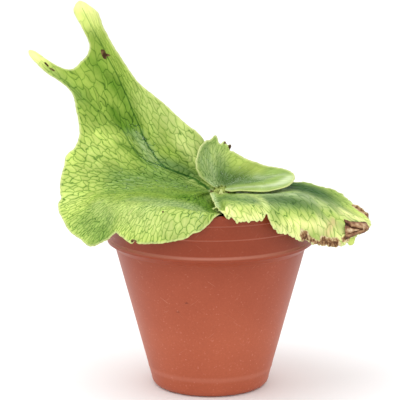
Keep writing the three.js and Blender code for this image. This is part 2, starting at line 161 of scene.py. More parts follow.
# %% Landmarks of the middle frond
MIDDLE = {
    "crown": [8, 148.3, 0],
    "foot": [1.2, 1.2],
    "level": 30,
    "ribs": [
        [[1, 148, -9], [-5, 153, -14], [-10, 160, -17], [-12, 167, -16], [-10, 176, -10],
         [-6, 186, -2]],
        [[2, 151, -5], [-2, 158, -8], [-4, 167, -7], [-4, 176, -3], [0, 184, 2], [2, 193, 6]],
        [[7, 152, -1], [7, 161, 0], [8, 169, 2], [12, 176, 6], [14, 186, 9]],
        [[12, 152, 3], [18, 158, 6], [26, 164, 9], [32, 169, 11], [41, 174, 12]],
        [[14, 150, 3], [24, 155, 8], [35, 160, 11], [46, 163, 11], [57, 167, 9]],
        [[15, 150, 0], [26, 152, 3], [38, 154, 4], [50, 156, 2], [62, 156, -1], [74, 157, -4]],
        [[14, 148, -4], [26, 149, -7], [36, 150, -10], [48, 150, -12], [66, 151, -13]],
        [[13, 147, -9], [22, 146, -16], [32, 146, -22], [42, 146, -24], [58, 148, -24]],
        [[12, 146, -12], [20, 145, -21], [30, 144, -29], [42, 144, -31], [58, 146, -31]],
    ],
    "outline": [
        [-2.5, 152], [-7.5, 156.5], [-10.5, 163], [-10.5, 169], [-8.5, 176.5], [-4, 183],
        [0.5, 184.5], [2.5, 187], [4, 187.5], [5, 185], [5.5, 182.5], [7.5, 181], [9, 182.5],
        [10.5, 183], [11.5, 181.5], [13, 180], [14.5, 180.5], [15, 179], [14, 176.5],
        [17.5, 175], [24, 171], [30, 168.5], [38.5, 165.5], [51, 163], [59.5, 160], [62, 156.5],
        [61, 153], [57, 149.5], [51, 147.5], [41.5, 145.5], [32.5, 145.5], [21.5, 146],
        [15, 145.5],
    ],
}
print("middle frond:", len(MIDDLE["ribs"]), "ribs and", len(MIDDLE["outline"]), "points")

# %% Landmarks of the right frond
RIGHT = {
    "crown": [8, 146, -4],
    "foot": [8, 8],
    "level": 50,
    "ribs": [
        [[2, 144, -12], [-2, 143, -16], [-6, 143, -20]],
        [[4, 142, -16], [3, 138, -27], [5, 134, -44], [7, 131, -60], [8, 130, -75],
         [8, 127, -79], [8, 118, -81]],
        [[7, 142, -14], [10, 140, -32], [10, 138, -50], [12, 136, -66], [12, 133, -76],
         [12, 128, -80], [12, 120, -82]],
        [[12, 143, -15], [16, 141, -33], [21, 139, -50], [25, 137, -65], [27, 134, -74],
         [28, 130, -78], [30, 120, -80]],
        [[16, 143, -14], [26, 142, -30], [34, 140, -46], [40, 137, -60], [44, 132, -68],
         [48, 123, -72], [52, 109, -74]],
        [[20, 144, -12], [34, 143, -24], [47, 142, -35], [56, 138, -44], [63, 130, -53],
         [68, 120, -56], [71, 104, -58]],
        [[24, 144, -10], [41, 144, -16], [56, 144, -22], [68, 142, -27], [77, 133, -32],
         [84, 121, -36], [89, 100, -40]],
        [[24, 145, -6], [42, 147, -8], [58, 146, -10], [74, 143, -12], [87, 136, -14],
         [100, 126, -16], [115, 114, -18]],
        [[24, 146, 0], [42, 147, 0], [60, 148, 0], [76, 146, 0], [90, 139, 0], [103, 131, 0],
         [120, 120, -2]],
        [[20, 147, 6], [36, 149, 12], [55, 154, 16], [70, 152, 17], [84, 149, 16],
         [100, 142, 13], [120, 130, 9]],
    ],
    "outline": [
        [0, 144], [2, 138], [4, 134], [2, 132], [5, 133], [6, 132], [8, 130], [10, 125],
        [13, 124], [15, 126], [18, 124], [20, 122], [25, 123], [30, 123], [38, 124], [42, 128],
        [44, 123], [48, 116], [52, 114], [60, 112], [66, 108], [70, 109], [76, 106], [82, 105],
        [96, 104], [100, 106], [104, 110], [108, 112], [115, 116], [118, 121], [116, 128],
        [111, 132], [104, 137], [100, 140], [92, 146], [80, 149], [70, 152], [61, 152],
        [44, 150], [28, 148],
    ],
}

FRONDS = {"left": LEFT, "middle": MIDDLE, "right": RIGHT}
print("ribs:", {name: len(shape["ribs"]) for name, shape in FRONDS.items()})

# %% [markdown]
# Four small functions turn landmarks into space. place() carries a landmark along the line of
# sight to its depth, sighted() does the opposite, and smooth_line() draws a centripetal
# Catmull-Rom line, which passes through all its points and makes no loops. evenly() then spaces
# the points of a line.


# %% Landmarks to points
def place(marks):
    across, up, depth = np.asarray(marks, float).T
    reach = 1 - depth / EYE[1]
    return np.stack([EYE[0] + (across - EYE[0]) * reach, depth, EYE[2] + (up - EYE[2]) * reach], 1)


def sighted(points):
    reach = 1 - points[..., 1] / EYE[1]
    across = EYE[0] + (points[..., 0] - EYE[0]) / reach
    return np.stack([across, EYE[2] + (points[..., 2] - EYE[2]) / reach], -1)


def smooth_line(points, closed=False, fine=40):
    p = np.asarray(points, float)
    ends = (p[-1:], p[:2]) if closed else (2 * p[:1] - p[1:2], 2 * p[-1:] - p[-2:-1])
    p = np.vstack([ends[0], p, ends[1]])
    a, b, c, d = p[:-3], p[1:-2], p[2:-1], p[3:]
    ta, tb, tc = (
        np.sqrt(np.maximum(np.linalg.norm(v - u, axis=1), 1e-6))[:, None]
        for u, v in ((a, b), (b, c), (c, d))
    )
    leave = tb * ((b - a) / ta - (c - a) / (ta + tb) + (c - b) / tb)
    arrive = tb * ((c - b) / tb - (d - b) / (tb + tc) + (d - c) / tc)
    t = np.linspace(0, 1, fine, endpoint=False)[None, :, None]
    b, c, leave, arrive = (v[:, None, :] for v in (b, c, leave, arrive))
    line = (1 + t * t * (2 * t - 3)) * b + t * t * (3 - 2 * t) * c
    line = line + t * (1 - t) ** 2 * leave + t * t * (t - 1) * arrive
    return np.vstack([line.reshape(-1, p.shape[1]), p[1:2] if closed else p[-2:-1]])


def evenly(line, spacing):
    """The line again with its points a given distance apart."""
    walked = np.r_[0, np.cumsum(np.linalg.norm(np.diff(line, axis=0), axis=1))]
    stops = np.linspace(0, walked[-1], max(2, round(walked[-1] / spacing) + 1))
    return np.stack([np.interp(stops, walked, axis) for axis in line.T], 1)


print("crown of the left frond:", place([LEFT["crown"]])[0].round(1))

# %% [markdown]
# A rib is kept as a rail of points a millimetre apart, and is also laid flat. The part of its bend
# that lies in the blade stays, as the bend of a rib drawn on paper would, and the part that lifts
# it off the blade is ironed out.

# %% A rib in space, and laid flat
STEP, REACH = 1.0, 240.0
LENGTHS = np.arange(int(REACH / STEP) + 1) * STEP
BUNCHED = 12


def rail_of(marks):
    """Points every STEP along a rib, which goes on straight past its last landmark."""
    line = smooth_line(marks)
    walked = np.r_[0, np.cumsum(np.linalg.norm(np.diff(line, axis=0), axis=1))]
    rail = np.stack([np.interp(LENGTHS, walked, axis) for axis in line.T], 1)
    ahead = (line[-1] - line[-2]) / np.linalg.norm(line[-1] - line[-2])
    return rail + np.maximum(LENGTHS - walked[-1], 0)[:, None] * ahead


def ironed(rail, sideways):
    """The rail laid flat, with its bends in the blade but not those off it."""
    behind, ahead = rail[1:-1] - rail[:-2], rail[2:] - rail[1:-1]
    face = np.cross(behind, sideways[2:])
    face /= np.linalg.norm(face, axis=1)[:, None] + 1e-9
    bend = (np.cross(behind, ahead) * face).sum(1) / STEP**2
    # Where the ribs bunch up at the crown, their bend says nothing about the blade
    heading = np.r_[0, np.cumsum(np.where(LENGTHS[2:] > BUNCHED, bend, 0))]
    flat = np.cumsum(STEP * np.stack([np.cos(heading), np.sin(heading)], 1), axis=0)
    return np.vstack([[0, 0], flat])


tall_rib = rail_of(np.vstack([place([LEFT["crown"]]), place(LEFT["ribs"][0])]))
print("the left frond's first rib, 150 mm up:", tall_rib[150].round(1))

# %% [markdown]
# A Fan holds one blade's ribs as a grid of points. A place on it is a rib's number s, with a
# fraction between two ribs, and a length r along the rib. at() gives the point in space and also
# the point where the blade would lie if it were ironed flat, and find() goes back from either one
# to (s, r) with Newton's method, for thousands of points at once.


# %% The fan
class Fan:
    # find() takes ten rounds. In each a place moves by at most this many ribs and millimetres
    ROUNDS, MOST_S, MOST_R = 10, 0.3, 5
    # It starts from the nearest of a coarse grid of places, and looks them up a batch at a time
    COARSE_S, COARSE_R, BATCH = 0.25, 4.0, 2000

    def __init__(self, shape):
        start = place([shape["crown"]])
        rails = [rail_of(np.vstack([start, place(rib)])) for rib in shape["ribs"]]
        self.last, self.turn, self.turns = len(rails) - 1, 0.0, [0.0]
        self.level = shape["level"]
        level = round(self.level / STEP)
        self.grid = np.zeros((len(rails), len(LENGTHS), 5))
        for i, rail in enumerate(rails):
            before, after = rails[max(i - 1, 0)], rails[min(i + 1, self.last)]
            if i:
                self.turns.append(np.linalg.norm(rail[level] - before[level]) / self.level)
                self.turn += self.turns[-1]
            flat = ironed(rail, after - before)
            turn = self.turn - math.atan2(flat[level, 1], flat[level, 0])
            spin = np.array([[math.cos(turn), math.sin(turn)], [-math.sin(turn), math.cos(turn)]])
            self.grid[i] = np.hstack([rail, flat @ spin])

    def at(self, s, r):
        n = np.clip(np.floor(r / STEP).astype(int), 0, len(LENGTHS) - 2)
        part = (r / STEP - n)[:, None]
        i = np.clip(np.floor(s).astype(int), 0, self.last - 1)
        t = (s - i)[:, None]

        def on_rib(k):
            low, high = self.grid[k, n], self.grid[k, n + 1]
            return low + (high - low) * part

        b, c = on_rib(i), on_rib(i + 1)
        a = np.where((i > 0)[:, None], on_rib(np.maximum(i - 1, 0)), 2 * b - c)
        d = np.where((i < self.last - 1)[:, None], on_rib(np.minimum(i + 2, self.last)), 2 * c - b)
        curved = b + 0.5 * t * (c - a + t * (2 * a - 5 * b + 4 * c - d + t * (3 * (b - c) + d - a)))
        return np.where((t < 0) | (t > 1), b + (c - b) * t, curved)

    def find(self, look, targets):
        """The places whose look is nearest to the targets."""
        targets = np.asarray(targets, float)
        s, r = np.meshgrid(np.arange(0, self.last + 0.01, self.COARSE_S),
                           np.arange(2, REACH - 20, self.COARSE_R))
        s, r = s.ravel(), r.ravel()
        shown = look(self.at(s, r))
        batches = np.array_split(targets, len(targets) // self.BATCH + 1)
        best = np.concatenate([((shown[None] - batch[:, None]) ** 2).sum(2).argmin(1)
                               for batch in batches])
        s, r, small = s[best], r[best], 0.01
        for _ in range(self.ROUNDS):
            here = look(self.at(s, r))
            by_s, by_r = look(self.at(s + small, r)) - here, look(self.at(s, r + small)) - here
            miss = targets - here
            size = (by_s[:, 0] * by_r[:, 1] - by_r[:, 0] * by_s[:, 1]) / small
            size = np.where(np.abs(size) < 1e-9, 1e-9, size)
            more_s = (by_r[:, 1] * miss[:, 0] - by_r[:, 0] * miss[:, 1]) / size
            more_r = (by_s[:, 0] * miss[:, 1] - by_s[:, 1] * miss[:, 0]) / size
            s = s + np.clip(more_s, -self.MOST_S, self.MOST_S)
            r = r + np.clip(more_r, -self.MOST_R, self.MOST_R)
        return s, r


fans = {name: Fan(shape) for name, shape in FRONDS.items()}
for name, fan in fans.items():
    print(f"frond {name} spreads through {math.degrees(fan.turn):.0f} degrees when it lies flat")

# %% [markdown]
# ## Veins and markings as strokes
#
# The main veins fork towards the margin, and felt, deep green and dry brown lie in broad patches.
# Each is a stroke: a line through a few landmarks on the blade, with a width in millimetres. The
# strokes are laid on the flattened blade, and every point of the mesh later measures its distance
# to them, so the markings follow the leaf wherever it bends.

# %% Main veins
VEINS = {
    "left": [
        [[0, 146], [-5, 150], [-12, 155], [-20, 158], [-28, 161], [-34, 164], [-39, 169],
         [-44, 177], [-49, 185], [-52, 194], [-56, 203], [-61, 216], [-66, 227], [-69, 234],
         [-74, 243], [-79, 254], [-83, 261], [-88, 271], [-93, 281]],
        [[-33, 163], [-38, 165], [-44, 167], [-52, 172], [-57, 178], [-62, 187], [-66, 193],
         [-73, 197], [-79, 203], [-85, 208], [-90, 212], [-95, 217], [-100, 222], [-106, 226],
         [-111, 232], [-118, 237], [-124, 241], [-128, 244]],
        [[-49, 187], [-54, 190], [-59, 195], [-63, 198], [-68, 206], [-72, 212], [-77, 218],
         [-81, 223], [-85, 225], [-90, 230]],
        [[-68, 206], [-68, 215], [-72, 225], [-76, 234], [-78, 242], [-82, 251], [-85, 261]],
        [[-12, 155], [-31, 154], [-45, 154], [-54, 155], [-62, 158], [-71, 161], [-79, 163],
         [-86, 166], [-91, 168], [-98, 170]],
        [[-57, 178], [-65, 181], [-73, 187], [-80, 193], [-86, 198], [-90, 202]],
        [[-10, 150], [-20, 149], [-34, 149], [-48, 148], [-58, 145], [-67, 142], [-73, 138],
         [-79, 132], [-84, 124]],
        [[-23, 161], [-25, 167], [-26, 177], [-31, 183], [-33, 191], [-37, 200], [-41, 206]],
        [[-10, 146], [-20, 142], [-31, 140], [-41, 139], [-49, 134], [-53, 124], [-55, 116]],
        [[-58, 147], [-71, 148], [-81, 149], [-91, 147], [-99, 143], [-106, 140]],
    ],
    "middle": [
        [[10, 146], [13, 151], [23, 156], [34, 154], [44, 154], [53, 156]],
        [[9, 147], [10, 155], [16, 162], [27, 163], [38, 161], [47, 159]],
        [[9, 147], [5, 156], [7, 166], [14, 170], [25, 166], [36, 164]],
        [[8, 148], [1, 156], [-1, 165], [1, 174], [4, 181]],
    ],
    "right": [
        [[33, 143], [40, 143], [49, 138], [57, 132], [63, 125], [66, 118], [68, 114]],
        [[40, 143], [49, 143], [61, 139], [68, 133], [74, 125], [76, 117], [77, 113]],
        [[49, 144], [57, 145], [68, 143], [77, 139], [83, 132], [87, 124], [89, 116]],
        [[57, 147], [64, 149], [72, 148], [78, 144], [88, 138], [95, 132], [101, 128]],
        [[64, 150], [73, 150], [84, 147], [94, 140], [103, 134], [108, 130]],
        [[33, 143], [38, 139], [44, 131], [48, 124], [52, 118]],
        [[29, 143], [24, 140], [18, 135], [14, 131]],
    ],
}
print("main veins:", {name: len(lines) for name, lines in VEINS.items()})

# %% Tints that lie over a blade's own green
TINTS = {
    "lime": "#d6e67c", "butter": "#eef0a0", "yellow": "#ffffa8", "pale": "#cbd984",
    "meadow": "#bed06c", "deep": "#5f8624", "shade": "#82a052", "dusk": "#6c8a4e",
    "grey": "#a0b380", "silver": "#d2dfb0", "tan": "#d3b184",
    "gloom": "#507038", "pine": "#30591f",
}
GREENS = {"left": "#99b14c", "middle": "#9cb560", "right": "#afc466"}
print("tints:", len(TINTS))

# %% [markdown]
# Each stroke says what it lays down (a tint, felt, dry or burnt leaf), how strongly, how wide in
# millimetres, and where. They are laid in this order, as washes of paint would be.

# %% Strokes on the left frond
STROKES = {}
STROKES["left"] = [
    ("meadow", 0.9, 22, [[-90, 177], [-92, 154], [-93, 135]]),
    ("meadow", 0.7, 12, [[-72, 175], [-75, 165]]),
    ("meadow", 0.6, 11, [[-63, 133], [-37, 130], [-22, 128]]),
    ("lime", 0.95, 10, [[-106, 177], [-109, 154], [-110, 135], [-104, 118], [-94, 107]]),
    ("lime", 0.6, 6, [[-81, 186], [-72, 183]]),
    ("lime", 0.7, 8, [[-68, 113], [-52, 115], [-42, 119]]),
    ("pale", 0.65, 8, [[-46, 218], [-37, 206], [-25, 193], [-16, 180], [-8, 169]]),
    # Painted light: these two strokes lighten the strip where the middle frond's shade falls on this
    # blade
    ("pale", 0.9, 5, [[-19, 181], [-14, 174], [-8, 168]]),
    ("butter", 0.35, 5, [[-21, 183], [-15, 177], [-10, 171]]),
    ("pale", 0.3, 6, [[-87, 177], [-85, 168], [-87, 159]]),
    ("pale", 0.5, 8, [[-106, 150], [-105, 139]]),
    ("pale", 0.7, 6, [[-25, 199], [-16, 190], [-8, 180]]),
    ("pale", 0.35, 4, [[-52, 209], [-44, 196], [-36, 183]]),
    ("grey", 0.6, 7, [[-56, 139], [-37, 138], [-19, 135], [-8, 133]]),
    ("grey", 0.35, 5, [[-84, 135], [-79, 130], [-73, 124]]),
    ("pale", 0.75, 8, [[-62, 128], [-45, 122], [-26, 119], [-8, 118]]),
    # Painted light: the tip of the tall horn is painted pale yellow for the light shining through it
    ("yellow", 1, 9, [[-97, 285], [-93, 280]]),
    ("lime", 0.9, 5, [[-92, 274], [-89, 269]]),
    # Painted light: the tip of the left horn is painted pale yellow for the light shining through it
    ("yellow", 0.95, 6, [[-133, 250], [-126, 245]]),
    ("lime", 0.5, 5, [[-121, 240], [-115, 236]]),
    ("lime", 0.15, 3, [[-72, 256], [-64, 242], [-56, 227]]),
    ("deep", 0.35, 4, [[-85, 262], [-81, 255], [-78, 248]]),
    ("deep", 0.45, 6, [[-92, 217], [-87, 208], [-82, 200]]),
    ("deep", 0.2, 6, [[-88, 242], [-83, 233], [-81, 226]]),
    ("deep", 0.15, 4, [[-67, 243], [-62, 234], [-56, 226]]),
    ("deep", 0.7, 6, [[-82, 239], [-75, 231], [-70, 224]]),
    ("deep", 0.65, 5, [[-69, 224], [-64, 215], [-60, 208], [-57, 200]]),
    ("deep", 1, 5, [[-71, 205], [-66, 196], [-60, 191]]),
    ("deep", 0.6, 4, [[-62, 200], [-55, 190], [-49, 178]]),
    ("deep", 0.7, 3.5, [[-66, 180], [-59, 177], [-52, 171], [-43, 165]]),
    # Painted shade: these two strokes darken the valley of the fold, where the blade turns to hang down
    ("shade", 0.9, 8, [[-68, 156], [-55, 154], [-41, 156], [-24, 151]]),
    ("shade", 0.6, 5, [[-76, 144], [-52, 146], [-34, 144], [-19, 142]]),
    ("pale", 0.4, 5, [[-84, 135], [-73, 133], [-59, 134]]),
    ("shade", 0.7, 10, [[-94, 122], [-85, 116], [-79, 110]]),
    ("shade", 0.5, 5, [[-116, 233], [-105, 224], [-98, 217]]),
    ("dusk", 0.9, 5, [[-31, 166], [-20, 162], [-11, 156]]),
    # Painted shade in the hollow by the crown, under the middle and right fronds, over the base's
    # deeper green
    ("shade", 0.7, 4, [[-16, 147], [-9, 144], [-3, 141]]),
    ("deep", 0.9, 6, [[-20, 141], [-9, 137], [-2, 132], [3, 130]]),
    ("deep", 0.8, 4, [[-8, 141], [-2, 136], [2, 132]]),
    ("pale", 0.8, 3, [[25, 143], [34, 139], [41, 134], [47, 128]]),
    ("pale", 0.7, 3, [[-15, 153], [-6, 150], [0, 147]]),
    ("grey", 0.6, 4, [[-53, 186], [-47, 177], [-44, 171]]),
    ("grey", 0.5, 6, [[-45, 135], [-26, 134], [-11, 131]]),
    ("pale", 0.28, 8, [[-79, 134], [-59, 134], [-45, 133]]),
    ("felt", 0.7, 7, [[-64, 151], [-44, 150], [-25, 148]]),
    ("felt", 0.4, 6, [[-78, 139], [-67, 142], [-45, 139]]),
    ("felt", 0.6, 6, [[-53, 186], [-47, 177], [-39, 163]]),
    ("felt", 0.7, 6, [[-37, 134], [-19, 133], [-8, 128]]),
    ("burnt", 1.0, 1.5, [[-78.2, 249.4], [-77.1, 245.0]]),
    ("burnt", 0.9, 0.9, [[-76.0, 246.8], [-73.8, 246.4]]),
    ("burnt", 1.0, 0.8, [[-120.4, 240.9], [-118.3, 238.7]]),
    ("burnt", 1.0, 0.8, [[-116.1, 236.5], [-114.0, 235.1]]),
    ("burnt", 0.9, 0.7, [[-35.0, 130.0], [-34.8, 129.6]]),
    ("burnt", 1.0, 0.9, [[-58.1, 108.0], [-55.1, 107.3]]),
]
print("strokes on the left frond:", len(STROKES["left"]))

# %% Strokes on the middle frond
STROKES["middle"] = [
    ("meadow", 0.9, 5, [[14, 172], [26, 167], [36, 163]]),
    ("lime", 0.3, 4, [[22, 167], [34, 163]]),
    # Painted shade: the right part of the upper wall faces the softbox squarely and is darkened
    ("shade", 0.35, 4, [[44, 161], [56, 159]]),
    ("grey", 0.5, 5, [[-3, 177], [3, 174], [8, 168]]),
    ("pale", 0.6, 3, [[-9, 171], [-10, 163], [-7, 156], [-2, 150]]),
    ("pale", 0.5, 2, [[0, 178], [2, 171], [3, 166]]),
    ("grey", 0.7, 5, [[-8, 171], [-5, 163], [0, 156]]),
    ("silver", 0.5, 3, [[-1, 166], [2, 161], [3, 157]]),
    ("dusk", 0.25, 3.5, [[-4, 173], [-2, 167]]),
    ("pale", 0.45, 4, [[6, 178], [11, 174]]),
    ("pale", 0.3, 3, [[-8, 176], [-4, 169], [-3, 163]]),
    # Painted shade in the valley between the lip and the upper wall
    ("dusk", 0.5, 3, [[6, 160], [10, 156]]),
    ("dusk", 1, 5, [[8, 156], [16, 153], [25, 153], [34, 153]]),
    ("shade", 0.8, 2.5, [[36, 152], [45, 153], [54, 155]]),
    ("grey", 0.8, 2, [[34, 156], [44, 156], [54, 158]]),
    ("silver", 0.6, 3, [[13, 147], [22, 148], [38, 149], [51, 151], [58, 155]]),
    ("silver", 0.7, 2.5, [[-3, 153], [3, 150], [8, 148]]),
    ("silver", 0.7, 2.5, [[47, 150], [53, 152], [58, 156]]),
    # More painted shade in the same valley
    ("dusk", 0.45, 3.5, [[11, 154], [19, 152], [27, 152]]),
    ("felt", 0.8, 5, [[-3, 169], [1, 162], [8, 156], [19, 153]]),
    ("felt", 1.0, 6, [[19, 153], [29, 153], [39, 154]]),
    ("felt", 0.8, 3, [[-2, 152], [4, 149], [8, 148]]),
    ("felt", 1.0, 4, [[14, 147], [25, 148], [38, 148], [54, 151]]),
    ("burnt", 1.0, 1.3, [[13.6, 179.6], [15.1, 177.3]]),
    ("burnt", 0.8, 0.9, [[9.9, 181.8], [11.4, 181.8]]),
]
print("strokes on the middle frond:", len(STROKES["middle"]))

# %% Strokes on the right frond
STROKES["right"] = [
    ("grey", 0.7, 16, [[38, 141], [53, 141], [69, 141], [82, 138], [93, 132]]),
    # Painted shadow that the middle frond's margin casts on this blade
    ("dusk", 0.85, 9, [[8, 140], [19, 139], [28, 138]]),
    ("gloom", 0.95, 10, [[42, 139], [53, 138], [60, 137]]),
    ("gloom", 0.75, 6, [[60, 136], [69, 134], [76, 132]]),
    ("gloom", 0.5, 5, [[66, 135], [72, 133], [79, 131]]),
    ("shade", 0.6, 4, [[75, 132], [82, 129], [90, 126]]),
    ("shade", 0.75, 9, [[82, 143], [89, 139], [96, 134]]),
    # Painted shade under the middle frond, in the valley behind the ridge, over the leaf's own dark
    # green
    ("pine", 0.95, 12, [[56, 148], [66, 147], [76, 145]]),
    ("pine", 0.6, 7, [[66, 150], [75, 148], [81, 145]]),
    ("pine", 0.8, 5, [[57, 150], [64, 150], [70, 147]]),
    ("pale", 0.8, 3, [[26, 144], [34, 141], [40, 135], [42, 130]]),
    ("grey", 0.75, 4.5, [[45, 143], [56, 143], [68, 142], [76, 140]]),
    ("gloom", 0.35, 4, [[66, 143], [73, 142], [79, 141]]),
    ("pale", 0.4, 4, [[79, 138], [85, 134], [92, 129], [99, 126]]),
    ("butter", 1, 4.5, [[9, 130], [19, 126], [29, 126], [38, 127]]),
    ("lime", 0.6, 3.5, [[22, 131], [34, 132]]),
    ("lime", 0.8, 3, [[54, 122], [65, 122], [75, 120]]),
    ("yellow", 0.8, 3.5, [[56, 119], [68, 121], [80, 119]]),
    ("butter", 0.9, 4, [[47, 116], [59, 112], [71, 110]]),
    ("butter", 0.9, 5, [[81, 120], [90, 116], [98, 110]]),
    ("shade", 0.55, 3.5, [[51, 133], [63, 133], [72, 131]]),
    ("meadow", 0.75, 3, [[54, 128], [66, 128], [77, 126]]),
    ("lime", 0.8, 4, [[103, 132], [109, 129], [115, 125]]),
    ("butter", 1, 5, [[100, 128], [114, 122]]),
    ("lime", 0.6, 4, [[85, 129], [93, 126], [100, 122]]),
    ("silver", 0.8, 2.5, [[0, 143], [3, 138], [5, 133]]),
    ("tan", 0.6, 2.2, [[91, 123], [88, 118], [86, 113]]),
    ("felt", 0.6, 5, [[19, 142], [29, 141], [38, 137]]),
    ("felt", 0.5, 3, [[48, 143], [59, 143], [68, 142]]),
    ("dry", 0.95, 3.6, [[67.9, 111.8], [71.6, 110.3]]),
    ("dry", 1.0, 1.6, [[73.1, 108.8], [76.8, 107.3], [81.3, 105.7]]),
    ("dry", 0.95, 3.4, [[82.7, 108.0], [87.9, 106.5], [93.9, 106.5]]),
    ("dry", 0.9, 2, [[98.3, 108.8], [102.0, 110.3]]),
    ("dry", 1.0, 1.4, [[106.0, 134.2], [112.0, 130.4], [117.2, 126.2]]),
]
print("strokes on the right frond:", len(STROKES["right"]))

# %% [markdown]
# ## The net of small veins
#
# Between the main veins runs a net whose cells are longer along the ribs than across them. Its
# cells are small at the left lobe and long on the upright half, so each rib has its own cell width
# and length. A fan of net coordinates is built from them: in it every cell is about one unit wide,
# and an ordinary Voronoi pattern there comes out stretched and curved along the ribs on the leaf.

# %% Cell sizes in mm, one for each rib, and how clearly the net shows there
# The trunk number says how strongly the main veins show
NETS = {
    "left": {
        "width": [3.7, 3.4, 3.0, 2.7, 2.4, 2.2, 2.1, 2.4, 3.0, 3.2, 3.0],
        "length": [8.6, 8.0, 7.0, 6.2, 5.6, 5.2, 5, 5.4, 6.2, 6.2, 6],
        "clear": [0.8, 1, 1, 1, 1, 1, 1, 1, 1, 1, 1],
        "trunk": 1.0,
    },
    "middle": {
        "width": [2.2, 2.4, 2.8, 3.2, 3.4, 3.4, 3.4, 3.4, 3.4],
        "length": [4, 4.6, 5.6, 7, 8, 9, 9, 9, 9],
        "clear": [1, 0.9, 0.6, 0.25, 0.15, 0.1, 0.1, 0.1, 0],
        "trunk": 0.25,
    },
    "right": {
        "width": [3.8, 4, 4.2, 4.4, 4.8, 5.2, 5.2, 5, 5, 5],
        "length": [5.2, 5.4, 5.6, 6.4, 8, 9, 9, 9.5, 10, 10.5],
        "clear": [0.9, 0.85, 0.9, 0.95, 0.95, 0.95, 0.95, 1, 1, 1],
        "trunk": 0.8,
    },
}
# With a SPREAD of 1 the cells would be alike all along a rib, and below 1 they grow outwards
SPREAD, WOBBLE, WAVES = 0.8, 0.13, 2.6
print("ribs with a cell size:", {name: len(net["width"]) for name, net in NETS.items()})

# %% [markdown]
# ## From ribs to a fine sheet
#
# A blade needs an even mesh, fine enough for its net of veins and free to end at any margin. A grid
# along the ribs would be crowded at the crown and coarse at the tips, so the mesh is laid out in a
# plan instead: the flat blade, drawn in along its ribs. Points that are evenly spread in the plan
# end up half as far again apart along the ribs, where little changes, as across them.

# %% Into the plan and back
DRAW_IN = 1.5


def drawn_in(flat, factor, middle):
    """The flat blade, shorter along its ribs by the factor and spread wider by it round the crown."""
    ahead = flat[:, 0] * math.cos(middle) + flat[:, 1] * math.sin(middle)
    beside = flat[:, 1] * math.cos(middle) - flat[:, 0] * math.sin(middle)
    angle = (middle + np.arctan2(beside, ahead)) * factor
    r = np.hypot(flat[:, 0], flat[:, 1]) / factor
    return np.stack([r * np.cos(angle), r * np.sin(angle)], 1)


def to_plan(fan, s, r):
    return drawn_in(fan.at(np.asarray(s, float), np.asarray(r, float))[:, 3:], DRAW_IN, fan.turn / 2)


def from_plan(fan, plan):
    flat = drawn_in(plan, 1 / DRAW_IN, DRAW_IN * fan.turn / 2)
    return fan.find(lambda points: points[:, 3:], flat)


def seen_to_plan(fan, marks):
    return to_plan(fan, *fan.find(lambda points: sighted(points[:, :3]), marks))


print("60 mm up the left frond's first rib, in the plan:", to_plan(fans["left"], [0], [60]).round(1))


# %% Distances in the plan
def inside(loop, points):
    """Whether each point lies in a closed line: a ray from it then crosses the line an odd number
    of times."""
    x, y = points[:, 0], points[:, 1]
    within = np.zeros(len(points), bool)
    for (ax, ay), (bx, by) in zip(loop, np.roll(loop, 1, axis=0)):
        if ay != by:
            within ^= ((ay > y) != (by > y)) & (x < (bx - ax) * (y - ay) / (by - ay) + ax)
    return within


def away(points, line, closed=False):
    """Distance from each point to a line of short pieces, and how far along it the nearest is."""
    a = line if closed else line[:-1]
    b = np.roll(line, -1, axis=0) if closed else line[1:]
    if not len(a):
        return np.linalg.norm(points - line[0], axis=1), np.zeros(len(points))
    nearest, along = np.full(len(points), 1e9), np.zeros(len(points))
    for k, (p, q) in enumerate(zip(a, b)):
        t = np.clip(((points - p) @ (q - p)) / max((q - p) @ (q - p), 1e-9), 0, 1)
        far = np.hypot(*(points - p - t[:, None] * (q - p)).T)
        better = far < nearest
        nearest[better], along[better] = far[better], (k + t[better]) / len(a)
    return nearest, along


square = np.array([[0.0, 0.0], [4.0, 0.0], [4.0, 4.0], [0.0, 4.0]])
trial = np.array([[1.0, 2.0], [7.0, 2.0]])
distances = away(trial, square, closed=True)[0]
print("inside a square:", inside(square, trial), "and away from its edge:", distances)

# %% [markdown]
# The margin passes through its landmarks, closes across the foot of the blade, and gets small
# uneven teeth from three waves, whose pitches share no small multiple. The points inside it lie in
# staggered rows, each a little off its place, so that no grid shows in the finished leaf. The main
# veins are lines of points of their own, and a Delaunay triangulation that keeps these lines as
# edges joins everything.

# %% Margin and points of one blade
GRAIN = 1.0
MARGIN_STEP = 0.8 * GRAIN
RAGGED = {"left": 0.12, "middle": 0.15, "right": 0.55}
TEETH = (11.3, 6.1, 3.7)
BARE_FOOT = 10
# Shares of the grain: how far points stray, and how near they may come to the margin and a vein
JITTER, OFF_MARGIN, OFF_VEIN, VEIN_OFF_MARGIN = 0.12, 0.6, 0.55, 0.7


def ragged(margin, draw):
    """Small uneven teeth along the margin, but none at the foot."""
    ahead = np.roll(margin, -1, axis=0) - np.roll(margin, 1, axis=0)
    ahead /= np.linalg.norm(ahead, axis=1)[:, None]
    walked = np.arange(len(margin)) * MARGIN_STEP
    teeth = sum(np.abs(np.sin(math.pi * walked / pitch + draw.uniform(0, 6.3))) - 0.5
                for pitch in TEETH)
    free = np.clip((np.hypot(*margin.T) - BARE_FOOT) / BARE_FOOT, 0, 1)
    return np.stack([ahead[:, 1], -ahead[:, 0]], 1) * (teeth * free)[:, None]


